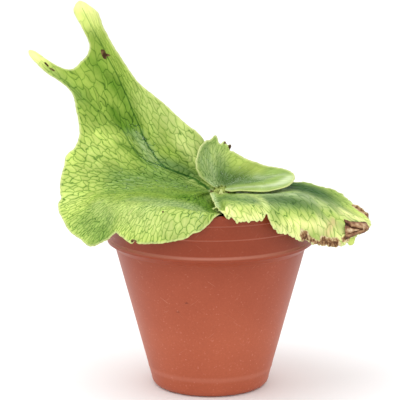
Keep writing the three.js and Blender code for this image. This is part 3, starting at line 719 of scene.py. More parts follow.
def rows_inside(margin, draw):
    """Points in staggered rows, each a little off its place, that lie inside the margin."""
    low, high = margin.min(0), margin.max(0)
    points = []
    for k, y in enumerate(np.arange(low[1], high[1], GRAIN * math.sqrt(0.75))):
        x = np.arange(low[0] + (k % 2) * GRAIN / 2, high[0], GRAIN)
        points.append(np.stack([x, np.full(len(x), y)], 1))
    points = np.vstack(points)
    points += draw.uniform(-JITTER, JITTER, points.shape) * GRAIN
    points = points[inside(margin, points)]
    return points[away(points, margin, closed=True)[0] > OFF_MARGIN * GRAIN]


print("a row of points every", round(GRAIN * math.sqrt(0.75), 2), "mm of the plan")

# %% Flat sheet of one blade
INSIDE_ONLY, TOLERANCE, FOOT_POINTS = 1, 1e-4, 9


def lay_flat(name):
    """The points and triangles of a blade in the plan, with its margin and its main veins."""
    shape, fan = FRONDS[name], fans[name]
    draw = np.random.default_rng(len(name))
    first, last = shape["foot"]
    t = np.linspace(1, 0, FOOT_POINTS)
    foot = to_plan(fan, t * fan.last, first + (last - first) * t)
    margin = smooth_line(np.vstack([seen_to_plan(fan, shape["outline"]), foot]), closed=True)
    margin = evenly(margin, MARGIN_STEP)[:-1]
    margin += ragged(margin, draw) * RAGGED[name]
    veins = [evenly(smooth_line(seen_to_plan(fan, line)), GRAIN) for line in VEINS[name]]
    points = rows_inside(margin, draw)
    edges = [(i, (i + 1) % len(margin)) for i in range(len(margin))]
    kept, count = [margin], len(margin)
    for line in veins:
        points = points[away(points, line)[0] > OFF_VEIN * GRAIN]
        use = inside(margin, line) & (away(line, margin, closed=True)[0] > VEIN_OFF_MARGIN * GRAIN)
        edges += [(count + i, count + i + 1) for i in range(len(line) - 1) if use[i] and use[i + 1]]
        # What lies outside moves onto the vein's first good point, where it merges
        kept.append(np.where(use[:, None], line, line[np.argmax(use)]))
        count += len(line)
    kept.append(points)
    places = [tuple(p) for p in np.vstack(kept)]
    joined = delaunay_2d_cdt(places, edges, [], INSIDE_ONLY, TOLERANCE)
    return np.array([tuple(v) for v in joined[0]]), np.array(joined[2]), margin, veins


sheets = {name: lay_flat(name) for name in FRONDS}
for name, (points, triangles, margin, veins) in sheets.items():
    print(f"frond {name}: {len(points)} points, {len(triangles)} triangles in one face")

# %% [markdown]
# ## Bending the sheets and painting the markings
#
# Every point now gets its place in space, its place in the net, and what the materials read: the
# tint that the strokes leave there, and how much main vein, felt or dry brown it has. Named
# attributes hold them, so nothing depends on a UV layout or an image.


# %% Place in the net
def net_places(name, s, r):
    """Net coordinates, and how many cells fit into a millimetre along and across the rib."""
    fan, net, ribs = fans[name], NETS[name], np.arange(fans[name].last + 1)
    wide, long = (np.interp(s, ribs, net[size]) for size in ("width", "length"))
    steps = SPREAD * np.array(net["length"]) / net["width"] * fan.turns
    angle = np.interp(s, ribs, np.cumsum(steps))
    r = np.maximum(r, 1)
    far = fan.level / (SPREAD * long) * (r / fan.level) ** SPREAD
    across = (r / fan.level) ** (1 - SPREAD) * wide
    along = (r / fan.level) ** (1 - SPREAD) * long
    spots = np.stack([far * np.cos(angle), far * np.sin(angle), 0 * r], 1)
    # Small waves bend the seams, which would all be straight otherwise
    x, y = spots[:, 0] * WAVES, spots[:, 1] * WAVES
    spots[:, 0] += WOBBLE * (np.sin(x + 1.7 * y) + np.sin(1.9 * x - 0.8 * y + 2))
    spots[:, 1] += WOBBLE * (np.sin(1.5 * x - y + 4) + np.sin(0.7 * x + 2.1 * y + 1))
    return spots, np.stack([1 / along, 1 / across, 0 * r], 1)


halfway = net_places("left", np.array([5.0]), np.array([60.0]))[1][0]
print(f"cells 60 mm up the sixth rib: {1 / halfway[0]:.1f} mm long and {1 / halfway[1]:.1f} mm wide")

# %% Tint and marks of every point
LONG_VEIN, THINNEST, THINNED, VEIN_HALF, STROKE_STEP = 110, 0.55, 0.4, 1.2, 2.0


def painted(name, points, veins, r):
    """Each point's tint, and how much vein, felt, dry and burnt leaf it has."""
    tint = np.tile(linear(GREENS[name]), (len(points), 1))
    marks = {"vein": 0 * r, "felt": 0 * r, "dry": 0 * r, "burnt": 0 * r}
    # A main vein is stronger the longer it is, and thins out towards its end
    for line in veins:
        far, along = away(points, line)
        weight = np.clip(len(line) * GRAIN / LONG_VEIN, THINNEST, 1)
        near = np.clip(VEIN_HALF - far / GRAIN, 0, 1) * (1 - THINNED * along) * weight
        marks["vein"] = np.maximum(marks["vein"], near * NETS[name]["trunk"])
    for what, strength, width, line in STROKES[name]:
        line = evenly(smooth_line(seen_to_plan(fans[name], line)), STROKE_STEP)
        share = strength * np.exp(-((away(points, line)[0] / width) ** 2))
        if what in TINTS:
            tint += (np.array(linear(TINTS[what])) - tint) * share[:, None]
        else:
            marks[what] = np.maximum(marks[what], share)
    return tint, marks


print("a vein of 60 mm has", round(60 / LONG_VEIN, 2), "of the strength of the longest")


# %% Mesh objects and their attributes
def add_attribute(mesh, name, values, kind="FLOAT"):
    field = {"FLOAT": "value", "FLOAT_VECTOR": "vector", "FLOAT_COLOR": "color"}[kind]
    mesh.attributes.new(name, kind, "POINT").data.foreach_set(field, np.ravel(values))


def new_object(name, places, faces):
    """A mesh object from places in millimetres."""
    mesh = bpy.data.meshes.new(name)
    mesh.from_pydata((np.asarray(places) * MM).tolist(), [], [list(map(int, f)) for f in faces])
    thing = bpy.data.objects.new(name, mesh)
    bpy.context.scene.collection.objects.link(thing)
    return thing


trial = new_object("trial", [(0, 0, 0), (1, 0, 0), (0, 1, 0)], [(0, 1, 2)])
add_attribute(trial.data, "felt", [0, 0.5, 1])
print("attributes of a mesh:", [attribute.name for attribute in trial.data.attributes])
bpy.data.meshes.remove(trial.data)


# %% The bent sheets
FADES_AT, FADED_TO = [115, 152, 172], [1, 0.65, 0.1]


def make_sheet(name):
    points, triangles, margin, veins = sheets[name]
    fan, net, ribs = fans[name], NETS[name], np.arange(fans[name].last + 1)
    s, r = from_plan(fan, points)
    bent = fan.at(s, r)[:, :3]
    a, b, c = (bent[triangles[:, k]] for k in range(3))
    # The upper face looks up and towards the viewer
    facing = np.cross(b - a, c - a).sum(0)
    if facing[2] - facing[1] < 0:
        triangles = triangles[:, ::-1]
    sheet = new_object(f"sheet_{name}", bent, triangles)
    tint, marks = painted(name, points, veins, r)
    marks["margin"] = away(points, margin, closed=True)[0]
    # The net fades away towards the tips of the horns
    faint = np.interp(r, FADES_AT, FADED_TO)
    marks["clear"] = np.interp(s, ribs, net["clear"]) * faint
    for channel, values in marks.items():
        add_attribute(sheet.data, channel, values)
    spots, pitch = net_places(name, s, r)
    across = np.interp(s, ribs, np.cumsum(fan.turns)) * fan.level
    add_attribute(sheet.data, "net", spots, "FLOAT_VECTOR")
    add_attribute(sheet.data, "pitch", pitch, "FLOAT_VECTOR")
    add_attribute(sheet.data, "fibre", np.stack([across, r, 0 * r], 1), "FLOAT_VECTOR")
    add_attribute(sheet.data, "tint", tint, "FLOAT_COLOR")
    return sheet


blades = {name: make_sheet(name) for name in FRONDS}
for name, blade in blades.items():
    size = [round(v / MM) for v in blade.dimensions]
    print(f"sheet {name}: {len(blade.data.vertices)} points, {size} mm")

# %% [markdown]
# ## The raised net and the blade's thickness
#
# Between the veins the real blade swells into little pads. They follow a rule: the cells of the
# net, high in the middle and low along the seams. A Geometry Nodes tree lifts them, gives the
# sheet its thickness by pushing a second face out behind it, and joins the two with a thin edge.
# The material draws the veins with the same pattern, so seam and colour agree.

# %% Materials the tree needs
UNEVEN = 0.9
# The waxy upper skin of a fern blade, its paler matt underside and the thin edge between them
upper = bpy.data.materials.new("fern_blade_upper")
under = bpy.data.materials.new("fern_blade_underside")
rim = bpy.data.materials.new("fern_blade_edge")
print("the tree sets", [material.name for material in (upper, under, rim)])

# %% A tree with three sizes as its inputs
puff = bpy.data.node_groups.new("puffed_net_blade", "GeometryNodeTree")
puff.is_modifier = True
SIZES = {"Thickness": 0.7 * MM, "Pad height": 0.3 * MM, "Seam": 0.3}
for socket in ["Geometry", *SIZES]:
    kind = "NodeSocketGeometry" if socket == "Geometry" else "NodeSocketFloat"
    puff.interface.new_socket(name=socket, in_out="INPUT", socket_type=kind)
puff.interface.new_socket(name="Geometry", in_out="OUTPUT", socket_type="NodeSocketGeometry")
given = add(puff, "NodeGroupInput").outputs
print("inputs:", [socket.name for socket in puff.interface.items_tree if socket.in_out == "INPUT"])

# %% How far each point rises
net, vein, clear = (
    add(puff, "GeometryNodeInputNamedAttribute", {"Name": name}, "Attribute", data_type=kind)
    for name, kind in (("net", "FLOAT_VECTOR"), ("vein", "FLOAT"), ("clear", "FLOAT"))
)
cell = add(puff, "ShaderNodeTexVoronoi", {"Vector": net, "Scale": 1.0, "Randomness": UNEVEN},
           "Distance", voronoi_dimensions="2D", feature="DISTANCE_TO_EDGE")
pad = add(puff, "ShaderNodeMapRange", {"Value": cell, "From Max": given["Seam"]}, 0,
          interpolation_type="SMOOTHSTEP")
pad = add(puff, "ShaderNodeMath", {0: pad, 1: clear}, 0, operation="MULTIPLY")
low = add(puff, "ShaderNodeMath", {0: pad, 1: vein}, 0, operation="SUBTRACT")
lift = add(puff, "ShaderNodeMath", {0: low, 1: given["Pad height"]}, 0, operation="MULTIPLY")
half = add(puff, "ShaderNodeMath", {0: given["Thickness"], 1: 2.0}, 0, operation="DIVIDE")
rise = add(puff, "ShaderNodeMath", {0: lift, 1: half}, 0, operation="ADD")
print("nodes for the pads:", len(puff.nodes))

# %% [markdown]
# The points move along the sheet's normals, and these change as soon as a point moves. So the tree
# first keeps them as an attribute, and both faces are pushed along the kept ones.

# %% The two faces and the edge
WELD = 0.004 * MM
normal = add(puff, "GeometryNodeInputNormal", out="Normal")
kept = add(puff, "GeometryNodeStoreNamedAttribute",
           {"Geometry": given["Geometry"], "Name": "out", "Value": normal}, 0,
           data_type="FLOAT_VECTOR", domain="POINT")
out = add(puff, "GeometryNodeInputNamedAttribute", {"Name": "out"}, "Attribute",
          data_type="FLOAT_VECTOR")
offset = add(puff, "ShaderNodeVectorMath", {0: out, "Scale": rise}, 0, operation="SCALE")
face = add(puff, "GeometryNodeSetPosition", {"Geometry": kept, "Offset": offset}, 0)
back = add(puff, "ShaderNodeMath", {0: given["Thickness"], 1: -1.0}, 0, operation="MULTIPLY")
shift = add(puff, "ShaderNodeVectorMath", {0: out, "Scale": back}, 0, operation="SCALE")
pushed = add(puff, "GeometryNodeExtrudeMesh",
             {"Mesh": face, "Offset": shift, "Offset Scale": 1.0, "Individual": False}, mode="FACES")
flipped = add(puff, "GeometryNodeFlipFaces", {"Mesh": pushed.outputs["Mesh"]}, 0)
behind = add(puff, "GeometryNodeSetMaterial",
             {"Geometry": flipped, "Selection": pushed.outputs["Top"], "Material": under}, 0)
edged = add(puff, "GeometryNodeSetMaterial",
            {"Geometry": behind, "Selection": pushed.outputs["Side"], "Material": rim}, 0)
front = add(puff, "GeometryNodeSetMaterial", {"Geometry": face, "Material": upper}, 0)
both = add(puff, "GeometryNodeJoinGeometry")
for part in (edged, front):
    puff.links.new(part, both.inputs[0])
closed = add(puff, "GeometryNodeMergeByDistance", {"Geometry": both.outputs[0], "Distance": WELD}, 0)
real = add(puff, "GeometryNodeRealizeInstances", {"Geometry": closed}, 0)
add(puff, "NodeGroupOutput", {"Geometry": real})
print("tree nodes:", len(puff.nodes))


# %% Keeping what a modifier or a tree makes
def settle(thing, name):
    """The object as its modifiers make it, kept as a plain mesh under a new name."""
    depsgraph = bpy.context.evaluated_depsgraph_get()
    mesh = bpy.data.meshes.new_from_object(thing.evaluated_get(depsgraph), depsgraph=depsgraph)
    bpy.data.objects.remove(thing)
    result = bpy.data.objects.new(name, mesh)
    bpy.context.scene.collection.objects.link(result)
    mesh.name = name
    return result


def run_tree(thing, tree, sizes, name):
    """Runs a Geometry Nodes tree on an object, with its inputs set by their identifiers."""
    modifier = thing.modifiers.new(tree.name, "NODES")
    modifier.node_group = tree
    for socket in tree.interface.items_tree:
        if socket.in_out == "INPUT" and socket.name in sizes:
            modifier[socket.identifier] = sizes[socket.name]
    return settle(thing, name)


def join(name, *things):
    """Several meshes made one object. Nothing else may be selected, or it would join in."""
    for other in bpy.context.view_layer.objects:
        other.select_set(other in things)
    bpy.context.view_layer.objects.active = things[0]
    bpy.ops.object.join()
    things[0].select_set(False)
    things[0].name = things[0].data.name = name
    return things[0]


print("sheets that wait for the tree:", [blade.name for blade in blades.values()])


# %% Finishing a piece
def piece_done(thing, slot, *nodes):
    """Every finished piece rides on the one body and hides the CAD parts it stands for. slot is not
    used.
    """
    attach(thing, "root")
    if nodes:
        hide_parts(*nodes)
    thing.data.calc_loop_triangles()
    print(f"{thing.name}: {len(thing.data.loop_triangles)} triangles")


print("triangles before the tree runs:", [len(blade.data.polygons) for blade in blades.values()])

# %% [markdown]
# ## A tree that scatters small things
#
# Felt hairs, bark chips and moss all repeat over a surface. One tree serves them: it spreads
# points over a mesh, thicker where the mesh's "amount" attribute is higher, and puts a copy of a
# small shape on each, turned and sized by chance from a fixed seed. Each copy also keeps a random
# "tone", from which a material can give it a shade of its own.


# %% Scatter tree
SCATTER_INPUTS = ("Geometry", "Density", "Smallest", "Largest", "Lean")


def scatter_tree(name, shape, material, seed):
    tree = bpy.data.node_groups.new(name, "GeometryNodeTree")
    tree.is_modifier = True
    for socket in SCATTER_INPUTS:
        kind = "NodeSocketGeometry" if socket == "Geometry" else "NodeSocketFloat"
        tree.interface.new_socket(name=socket, in_out="INPUT", socket_type=kind)
    tree.interface.new_socket(name="Geometry", in_out="OUTPUT", socket_type="NodeSocketGeometry")
    given = add(tree, "NodeGroupInput").outputs
    amount = add(tree, "GeometryNodeInputNamedAttribute", {"Name": "amount"}, "Attribute",
                 data_type="FLOAT")
    thick = add(tree, "ShaderNodeMath", {0: amount, 1: given["Density"]}, 0, operation="MULTIPLY")
    spots = add(tree, "GeometryNodeDistributePointsOnFaces",
                {"Mesh": given["Geometry"], "Density": thick, "Seed": seed})
    tilt = add(tree, "ShaderNodeMath", {0: given["Lean"], 1: -1.0}, 0, operation="MULTIPLY")
    least = add(tree, "ShaderNodeCombineXYZ", {"X": tilt, "Y": tilt, "Z": 0.0}, 0)
    most = add(tree, "ShaderNodeCombineXYZ",
               {"X": given["Lean"], "Y": given["Lean"], "Z": 2 * math.pi}, 0)
    swing = add(tree, "FunctionNodeRandomValue", {"Min": least, "Max": most, "Seed": seed + 1}, 0,
                data_type="FLOAT_VECTOR")
    swing = add(tree, "FunctionNodeEulerToRotation", {0: swing}, 0)
    turn = add(tree, "FunctionNodeRotateRotation",
               {"Rotation": spots.outputs["Rotation"], "Rotate By": swing}, 0, rotation_space="LOCAL")
    scale = add(tree, "FunctionNodeRandomValue",
                {2: given["Smallest"], 3: given["Largest"], "Seed": seed + 2}, 1, data_type="FLOAT")
    tone = add(tree, "FunctionNodeRandomValue", {2: 0.0, 3: 1.0, "Seed": seed + 3}, 1,
               data_type="FLOAT")
    toned = add(tree, "GeometryNodeStoreNamedAttribute",
                {"Geometry": spots.outputs["Points"], "Name": "tone", "Value": tone}, 0,
                data_type="FLOAT")
    unit = add(tree, "GeometryNodeObjectInfo", {"Object": shape}, "Geometry")
    copies = add(tree, "GeometryNodeInstanceOnPoints",
                 {"Points": toned, "Instance": unit, "Rotation": turn, "Scale": scale}, 0)
    real = add(tree, "GeometryNodeRealizeInstances", {"Geometry": copies}, 0)
    done = add(tree, "GeometryNodeSetMaterial", {"Geometry": real, "Material": material}, 0)
    add(tree, "NodeGroupOutput", {"Geometry": done})
    return tree


print("inputs of a scatter tree:", SCATTER_INPUTS)


# %% Scattering on a copy of the ground
def scatter(ground, amount, name, shape, material, seed, **sizes):
    """Scatters on a copy of the ground, as thickly as the amount at each of its points."""
    copy = ground.copy()
    copy.data = ground.data.copy()
    bpy.context.scene.collection.objects.link(copy)
    add_attribute(copy.data, "amount", amount)
    tree = scatter_tree(name, shape, material, seed)
    print(f"{name}: a tree of {len(tree.nodes)} nodes")
    return run_tree(copy, tree, sizes, name)


print("sheets that get felt:", list(blades))


# %% [markdown]
# Staghorn felt is made of tiny star-shaped hairs. A star here has five thin arms, and is drawn
# about twice as large as a real one so that the felt shows as a bloom on the leaf. The hairs stand
# in tufts, which a sum of crossed waves gives: it is uneven at every size, as crumpled paper is.

# %% A felt star
ARMS, ARM_HALF, ARM_REACH, ARM_FOOT, ARM_TIP = 5, 0.05, 0.55, 0.45, 0.62
corners = []
for k in range(ARMS):
    a = 2 * math.pi * k / ARMS
    ahead, side = np.array([math.cos(a), math.sin(a), 0.0]), np.array([-math.sin(a), math.cos(a), 0.0])
    corners += [side * ARM_HALF + [0, 0, ARM_FOOT], side * -ARM_HALF + [0, 0, ARM_FOOT],
                ahead * ARM_REACH + [0, 0, ARM_TIP]]
star = new_object("felt_star", corners, [(k, k + 1, k + 2) for k in range(0, len(corners), 3)])
print("star faces:", len(star.data.polygons))


# %% An uneven field
def ruffle(x, y, seed):
    """Crumpling between about -1 and 1 from a few crossed waves."""
    draw, total = np.random.default_rng(seed), np.zeros(np.shape(x))
    for k in range(6):
        angle, phase, pitch = draw.uniform(0, math.pi), draw.uniform(0, 6.3), 1.5**k
        total += np.abs(np.sin((x * math.cos(angle) + y * math.sin(angle)) * pitch + phase)) / 1.35**k
    return total / 2 - 1


print("ruffle at three places:", ruffle(np.arange(3.0), np.zeros(3), 9).round(2))

# %% Felt hairs, then the blades themselves
# Dry white plant hair, which catches light at its tips and has no gloss
hair = bpy.data.materials.new("white_felt_hair")
for seed, (name, sheet) in enumerate(blades.items()):
    count = len(sheet.data.vertices)
    felt, margin, spots = np.zeros(count), np.zeros(count), np.zeros(count * 3)
    sheet.data.attributes["felt"].data.foreach_get("value", felt)
    sheet.data.attributes["margin"].data.foreach_get("value", margin)
    sheet.data.vertices.foreach_get("co", spots)
    x, y, z = spots.reshape(-1, 3).T / MM
    tufts = np.clip(0.6 + 1.6 * ruffle(x * 0.8 + z * 0.5, y * 0.6 - z * 0.7, 9), 0, 1)
    hairs = scatter(sheet, np.where(margin > 1, felt * tufts, 0), f"felt_{name}", star, hair, 30 + seed,
                    Density=2.6e6, Smallest=0.45, Largest=0.85, Lean=0.25)
    piece_done(hairs, f"frond_{name}")
    blades[name] = run_tree(sheet, puff, SIZES, f"blade_{name}")
    blades[name].data.shade_smooth()
bpy.data.objects.remove(star)

# %% [markdown]
# ## The dry tip of the right frond
#
# The right frond's tip has dried. It has shrunk into a brown crumple that lies folded on the front
# of the margin, and a green scrap and a dark strip hang out from behind it. These are patches
# between an upper and a lower line on the blade. A patch finds the blade under each of its points
# and stands off from it by a height that a formula gives. For the crumple that is a swelling with
# two creases. A last small piece is the pointed flap at the foot of the blade.

# %% A patch on the right blade
PATCH_SIZE = (70, 44)
FRAYED, NO_MARGIN, PATCH_PITCH, LINE_STEP = 0.6, 3.0, 0.25, 0.1


def patch(name, upper_line, lower_line, stand_off, size=PATCH_SIZE):
    """A sheet between two lines of landmarks on the right blade, lifted towards the viewer."""
    wide, deep = size
    along, down = np.meshgrid(np.linspace(0, 1, wide), np.linspace(0, 1, deep))
    along, down = along.ravel(), down.ravel()
    rims = []
    for line in (upper_line, lower_line):
        line = evenly(smooth_line(line), LINE_STEP)
        steps = np.linspace(0, 1, len(line))
        rims.append(np.stack([np.interp(along, steps, axis) for axis in line.T], 1))
    marks = rims[0] * (1 - down)[:, None] + rims[1] * down[:, None]
    frays = [ruffle(along * 14, down * 9, 1), ruffle(along * 12, down * 11, 2)]
    marks += FRAYED * np.stack(frays, 1)
    fan = fans["right"]
    on_blade = fan.at(*fan.find(lambda points: sighted(points[:, :3]), marks))[:, :3]
    towards = EYE - on_blade
    towards /= np.linalg.norm(towards, axis=1)[:, None]
    height = stand_off(along, down)
    faces = [(k, k + 1, k + 1 + wide, k + wide)
             for row in range(deep - 1) for k in range(row * wide, row * wide + wide - 1)]
    thing = new_object(name, on_blade + towards * height[:, None], faces)
    # The blade's own material reads these where a patch is green
    count = len(height)
    add_attribute(thing.data, "height", height)
    add_attribute(thing.data, "margin", np.full(count, NO_MARGIN))
    add_attribute(thing.data, "net", np.stack([along * 2, down * 2, 0 * down], 1), "FLOAT_VECTOR")
    pitch = np.tile([PATCH_PITCH, PATCH_PITCH, 0], (count, 1))
    add_attribute(thing.data, "pitch", pitch, "FLOAT_VECTOR")
    tint = np.tile(linear(TINTS["lime"]), (count, 1))
    add_attribute(thing.data, "tint", tint, "FLOAT_COLOR")
    thing.data.shade_smooth()
    return thing


print("a patch has", PATCH_SIZE[0] * PATCH_SIZE[1], "points unless a call says otherwise")


# %% How far the patches stand off
def crumple(along, down):
    """A swelling with a crease from corner to corner and a shorter one near its lower edge."""
    round_over = np.sin(math.pi * np.clip(down, 0.02, 0.98)) ** 0.55
    swell = 4.2 * round_over * (0.75 + 0.25 * np.sin(along * 3))
    crease = 3.2 * np.exp(-(((down - 0.22 - 0.62 * along) / 0.1) ** 2)) * (along < 0.72)
    notch = np.exp(-(((down - 0.74) / 0.06) ** 2)) * np.exp(-(((along - 0.35) / 0.3) ** 2))
    crumpled = 0.9 * ruffle(along * 12, down * 8, 3)
    return np.maximum(0.7 + swell - crease - 2.6 * notch + crumpled, 0.5)


def behind_tip(along, down):
    return -2.2 - 1.5 * down + 0.6 * ruffle(along * 3, down * 4, 5)


middle_height = crumple(np.array([0.5]), np.array([0.5]))[0]
print(f"the crumple stands {middle_height:.1f} mm off the blade in its middle")

# %% The dry tip, the pieces behind it and the bud's flap
# Leaf that died on the plant: brown, shrunken and papery, without wax or gloss
husk = bpy.data.materials.new("dried_leaf")
tip = patch("dry_tip",
            [[99.3, 124.2], [104.7, 122.6], [110.6, 122.4], [115.1, 121.7], [117.2, 118.6]],
            [[100.2, 109.0], [104.9, 111.2], [109.3, 113.0], [113.7, 114.3], [117.0, 116.8]],
            crumple)
scrap = patch("green_scrap",
              [[99.6, 113.5], [103.0, 114.0], [108.8, 114.5]],
              [[101.6, 106.4], [103.6, 104.4], [106.2, 105.8]],
              behind_tip, (24, 20))
# The dark strip lies behind the blade, so the dried leaf's painted shade gives it its darkest browns
strip = patch("dark_strip",
              [[93.5, 108.5], [98.0, 109.0], [102.0, 109.5]],
              [[94.0, 103.9], [98.0, 105.4], [101.6, 106.6]],
              behind_tip, (24, 14))
flap = new_object("flap",
                  place([[6.0, 143.4, -13], [7.6, 144.0, -12.4], [9.8, 143.5, -13],
                         [6.9, 145.6, -12.2], [8.5, 145.7, -12.2], [7.6, 147.2, -11.6]]),
                  [(0, 1, 3), (1, 4, 3), (1, 2, 4), (3, 4, 5)])
for thing, material in ((tip, husk), (scrap, upper), (strip, husk), (flap, rim)):
    thing.data.materials.append(material)
    wall = thing.modifiers.new("wall", "SOLIDIFY")
    wall.thickness, wall.offset = 0.5 * MM, 0.0
parts = [settle(thing, f"{thing.name}_solid") for thing in (tip, scrap, strip, flap)]
blades["right"] = join("blade_right", blades["right"], *parts)

for name, blade in blades.items():
    piece_done(blade, f"frond_{name}", f"frond_{name}")

# %% [markdown]
# ## Leaf materials
#
# A fern blade is living tissue under a thin wax: a dielectric with an IOR near 1.4 and a soft
# gloss. Its broad tints are in the "tint" attribute. The material adds what is finer than the mesh:
# the net, the streaks along the ribs, the felt and the dry brown.
#
# A Voronoi texture gives the distance to its nearest seam in net units, and a net unit is longer
# along a rib than across it. Lines drawn straight from that number would be fat where they cross
# the ribs. So the pattern is also read a little to the side and a little above, which gives its
# slope, and the slope and the cell size turn the distance into millimetres.


# %% Pattern sizes, and distance to the net in millimetres
def per(size):
    """The scale of a pattern on Object coordinates, in metres, whose cells are size mm wide."""
    return 1 / (size * MM)


def start_material(material):
    material.use_nodes = True
    material.node_tree.nodes.clear()
    return material.node_tree


def seam_distance(tree):
    net, pitch = (add(tree, "ShaderNodeAttribute", out="Vector", attribute_name=name)
                  for name in ("net", "pitch"))
    small, reads = 0.02, []
    for step in ((0, 0, 0), (small, 0, 0), (0, small, 0)):
        spot = add(tree, "ShaderNodeVectorMath", {0: net, 1: step}, 0, operation="ADD")
        reads.append(add(tree, "ShaderNodeTexVoronoi",
                         {"Vector": spot, "Scale": 1.0, "Randomness": UNEVEN}, "Distance",
                         voronoi_dimensions="2D", feature="DISTANCE_TO_EDGE"))
    rises = [add(tree, "ShaderNodeMath", {0: read, 1: reads[0]}, 0, operation="SUBTRACT")
             for read in reads[1:]]
    slope = add(tree, "ShaderNodeCombineXYZ", {"X": rises[0], "Y": rises[1]}, 0)
    along = add(tree, "ShaderNodeVectorMath", {0: net}, 0, operation="NORMALIZE")
    across = add(tree, "ShaderNodeVectorMath", {0: along, 1: (0, 0, 1)}, 0,
                 operation="CROSS_PRODUCT")
    parts = [add(tree, "ShaderNodeVectorMath", {0: slope, 1: way}, "Value", operation="DOT_PRODUCT")
             for way in (along, across)]
    real = add(tree, "ShaderNodeCombineXYZ", {"X": parts[0], "Y": parts[1]}, 0)
    real = add(tree, "ShaderNodeVectorMath", {0: real, 1: pitch}, 0, operation="MULTIPLY")
    steep = add(tree, "ShaderNodeVectorMath", {0: real}, "Value", operation="LENGTH")
    scaled = add(tree, "ShaderNodeMath", {0: reads[0], 1: small}, 0, operation="MULTIPLY")
    return add(tree, "ShaderNodeMath", {0: scaled, 1: steep}, 0, operation="DIVIDE")


print("a pattern whose cells are 5 mm wide has a scale of", per(5))

# %% [markdown]
# The upper face is the waxy skin of the leaf: a bright lime green with low pads, where the wax
# gives a wide soft gloss. The cells differ a little in shade, and streaks a millimetre wide run
# along the ribs.

# %% Upper face: what the attributes say, and the shade of each cell
tree = start_material(upper)
tint = add(tree, "ShaderNodeAttribute", out="Color", attribute_name="tint")
net, fibre = (
    add(tree, "ShaderNodeAttribute", out="Vector", attribute_name=name) for name in ("net", "fibre")
)
vein, felt, dry, burnt, margin, clear = (
    add(tree, "ShaderNodeAttribute", out="Fac", attribute_name=name)
    for name in ("vein", "felt", "dry", "burnt", "margin", "clear")
)
here = add(tree, "ShaderNodeTexCoord", out="Object")
seam = seam_distance(tree)
# Streaks about 1 mm wide and 8 mm long follow the ribs: "fibre" is in millimetres
STREAK_WIDE, STREAK_LONG = 1, 8.33
stretch = (1 / STREAK_WIDE, 1 / STREAK_LONG, 1)
stretched = add(tree, "ShaderNodeVectorMath", {0: fibre, 1: stretch}, 0, operation="MULTIPLY")
streak = add(tree, "ShaderNodeTexNoise", {"Vector": stretched, "Scale": 1.0, "Detail": 3.0}, "Fac")
blotch = add(tree, "ShaderNodeTexNoise", {"Vector": here, "Scale": per(16.7), "Detail": 4.0}, "Fac")
single = add(tree, "ShaderNodeTexVoronoi", {"Vector": net, "Scale": 1.0, "Randomness": UNEVEN},
             "Color", voronoi_dimensions="2D", feature="F1")
single = add(tree, "ShaderNodeSeparateColor", {0: single}, 0)
light = add(tree, "ShaderNodeMapRange", {"Value": streak, "From Min": 0.25, "From Max": 0.75,
                                         "To Min": -0.07, "To Max": 0.09}, 0)
# Each cell has a shade of its own, and blotches about 17 mm wide lie over all of them
for source, share in ((single, 0.2), (blotch, 0.35)):
    light = add(tree, "ShaderNodeMath", {0: source, 1: share, 2: light}, 0, operation="MULTIPLY_ADD")
light = add(tree, "ShaderNodeMath", {0: light, 1: 0.74}, 0, operation="ADD")
leaf = add(tree, "ShaderNodeVectorMath", {0: tint, "Scale": light}, 0, operation="SCALE")
print("upper face nodes so far:", len(tree.nodes))

# %% [markdown]
# Veins, felt and margin are layers over that shade. Each has a mask, which comes or goes between
# two values of what it is read from, and a colour that darkens or covers the leaf where the mask is
# high. All are made the same way, so a loop builds them from a list.

# %% Upper face: layers of veins, felt and margin
# Inside the cells runs a second net about three times finer, which hardly shows
finer = add(tree, "ShaderNodeTexVoronoi", {"Vector": net, "Scale": 2.8, "Randomness": 1.0},
            "Distance", voronoi_dimensions="2D", feature="DISTANCE_TO_EDGE")
# The small veins aren't equally dark everywhere
dark = add(tree, "ShaderNodeMapRange", {"Value": blotch, "From Min": 0.35, "From Max": 0.6,
                                        "To Min": 0.6, "To Max": 1.0}, 0)
dark = add(tree, "ShaderNodeMath", {0: dark, 1: clear}, 0, operation="MULTIPLY")
SOFT, EVEN, OVER, DARKER = "SMOOTHSTEP", "LINEAR", "MIX", "MULTIPLY"
layers = [
    # Read from, between, strength at both, how it fades, limited to, how it mixes, colour
    (seam, (0.0, 1.7), (0.62, 0.0), SOFT, clear, DARKER, "#d4eabf"),  # Green beside the small veins
    (finer, (0.02, 0.12), (0.2, 0.0), EVEN, clear, DARKER, "#c4dabc"),  # The finer net
    (seam, (0.06, 0.34), (1.0, 0.0), SOFT, dark, DARKER, "#86a286"),  # A small vein, 0.5 mm wide
    (vein, (0.3, 0.8), (0.0, 1.0), SOFT, 1.0, DARKER, "#7caa81"),  # The main veins
    (streak, (0.36, 0.52), (0.55, 0.0), EVEN, felt, DARKER, "#b3c8ad"),  # Leaf between the felt
    (streak, (0.48, 0.7), (0.0, 0.3), EVEN, felt, OVER, "#c8d6bc"),  # The felt's bloom
    (margin, (0.3, 1.4), (0.5, 0.0), SOFT, 1.0, OVER, "#e9efa6"),  # The thin pale margin
]
for source, (low, high), (start, end), fade, limit, way, code in layers:
    mask = add(tree, "ShaderNodeMapRange", {"Value": source, "From Min": low, "From Max": high,
                                            "To Min": start, "To Max": end}, 0,
               interpolation_type=fade)
    mask = add(tree, "ShaderNodeMath", {0: mask, 1: limit}, 0, operation="MULTIPLY")
    leaf = add(tree, "ShaderNodeMix", {0: mask, 6: leaf, 7: linear(code)}, 2,
               data_type="RGBA", blend_type=way)
print("layers on the upper face:", len(layers))

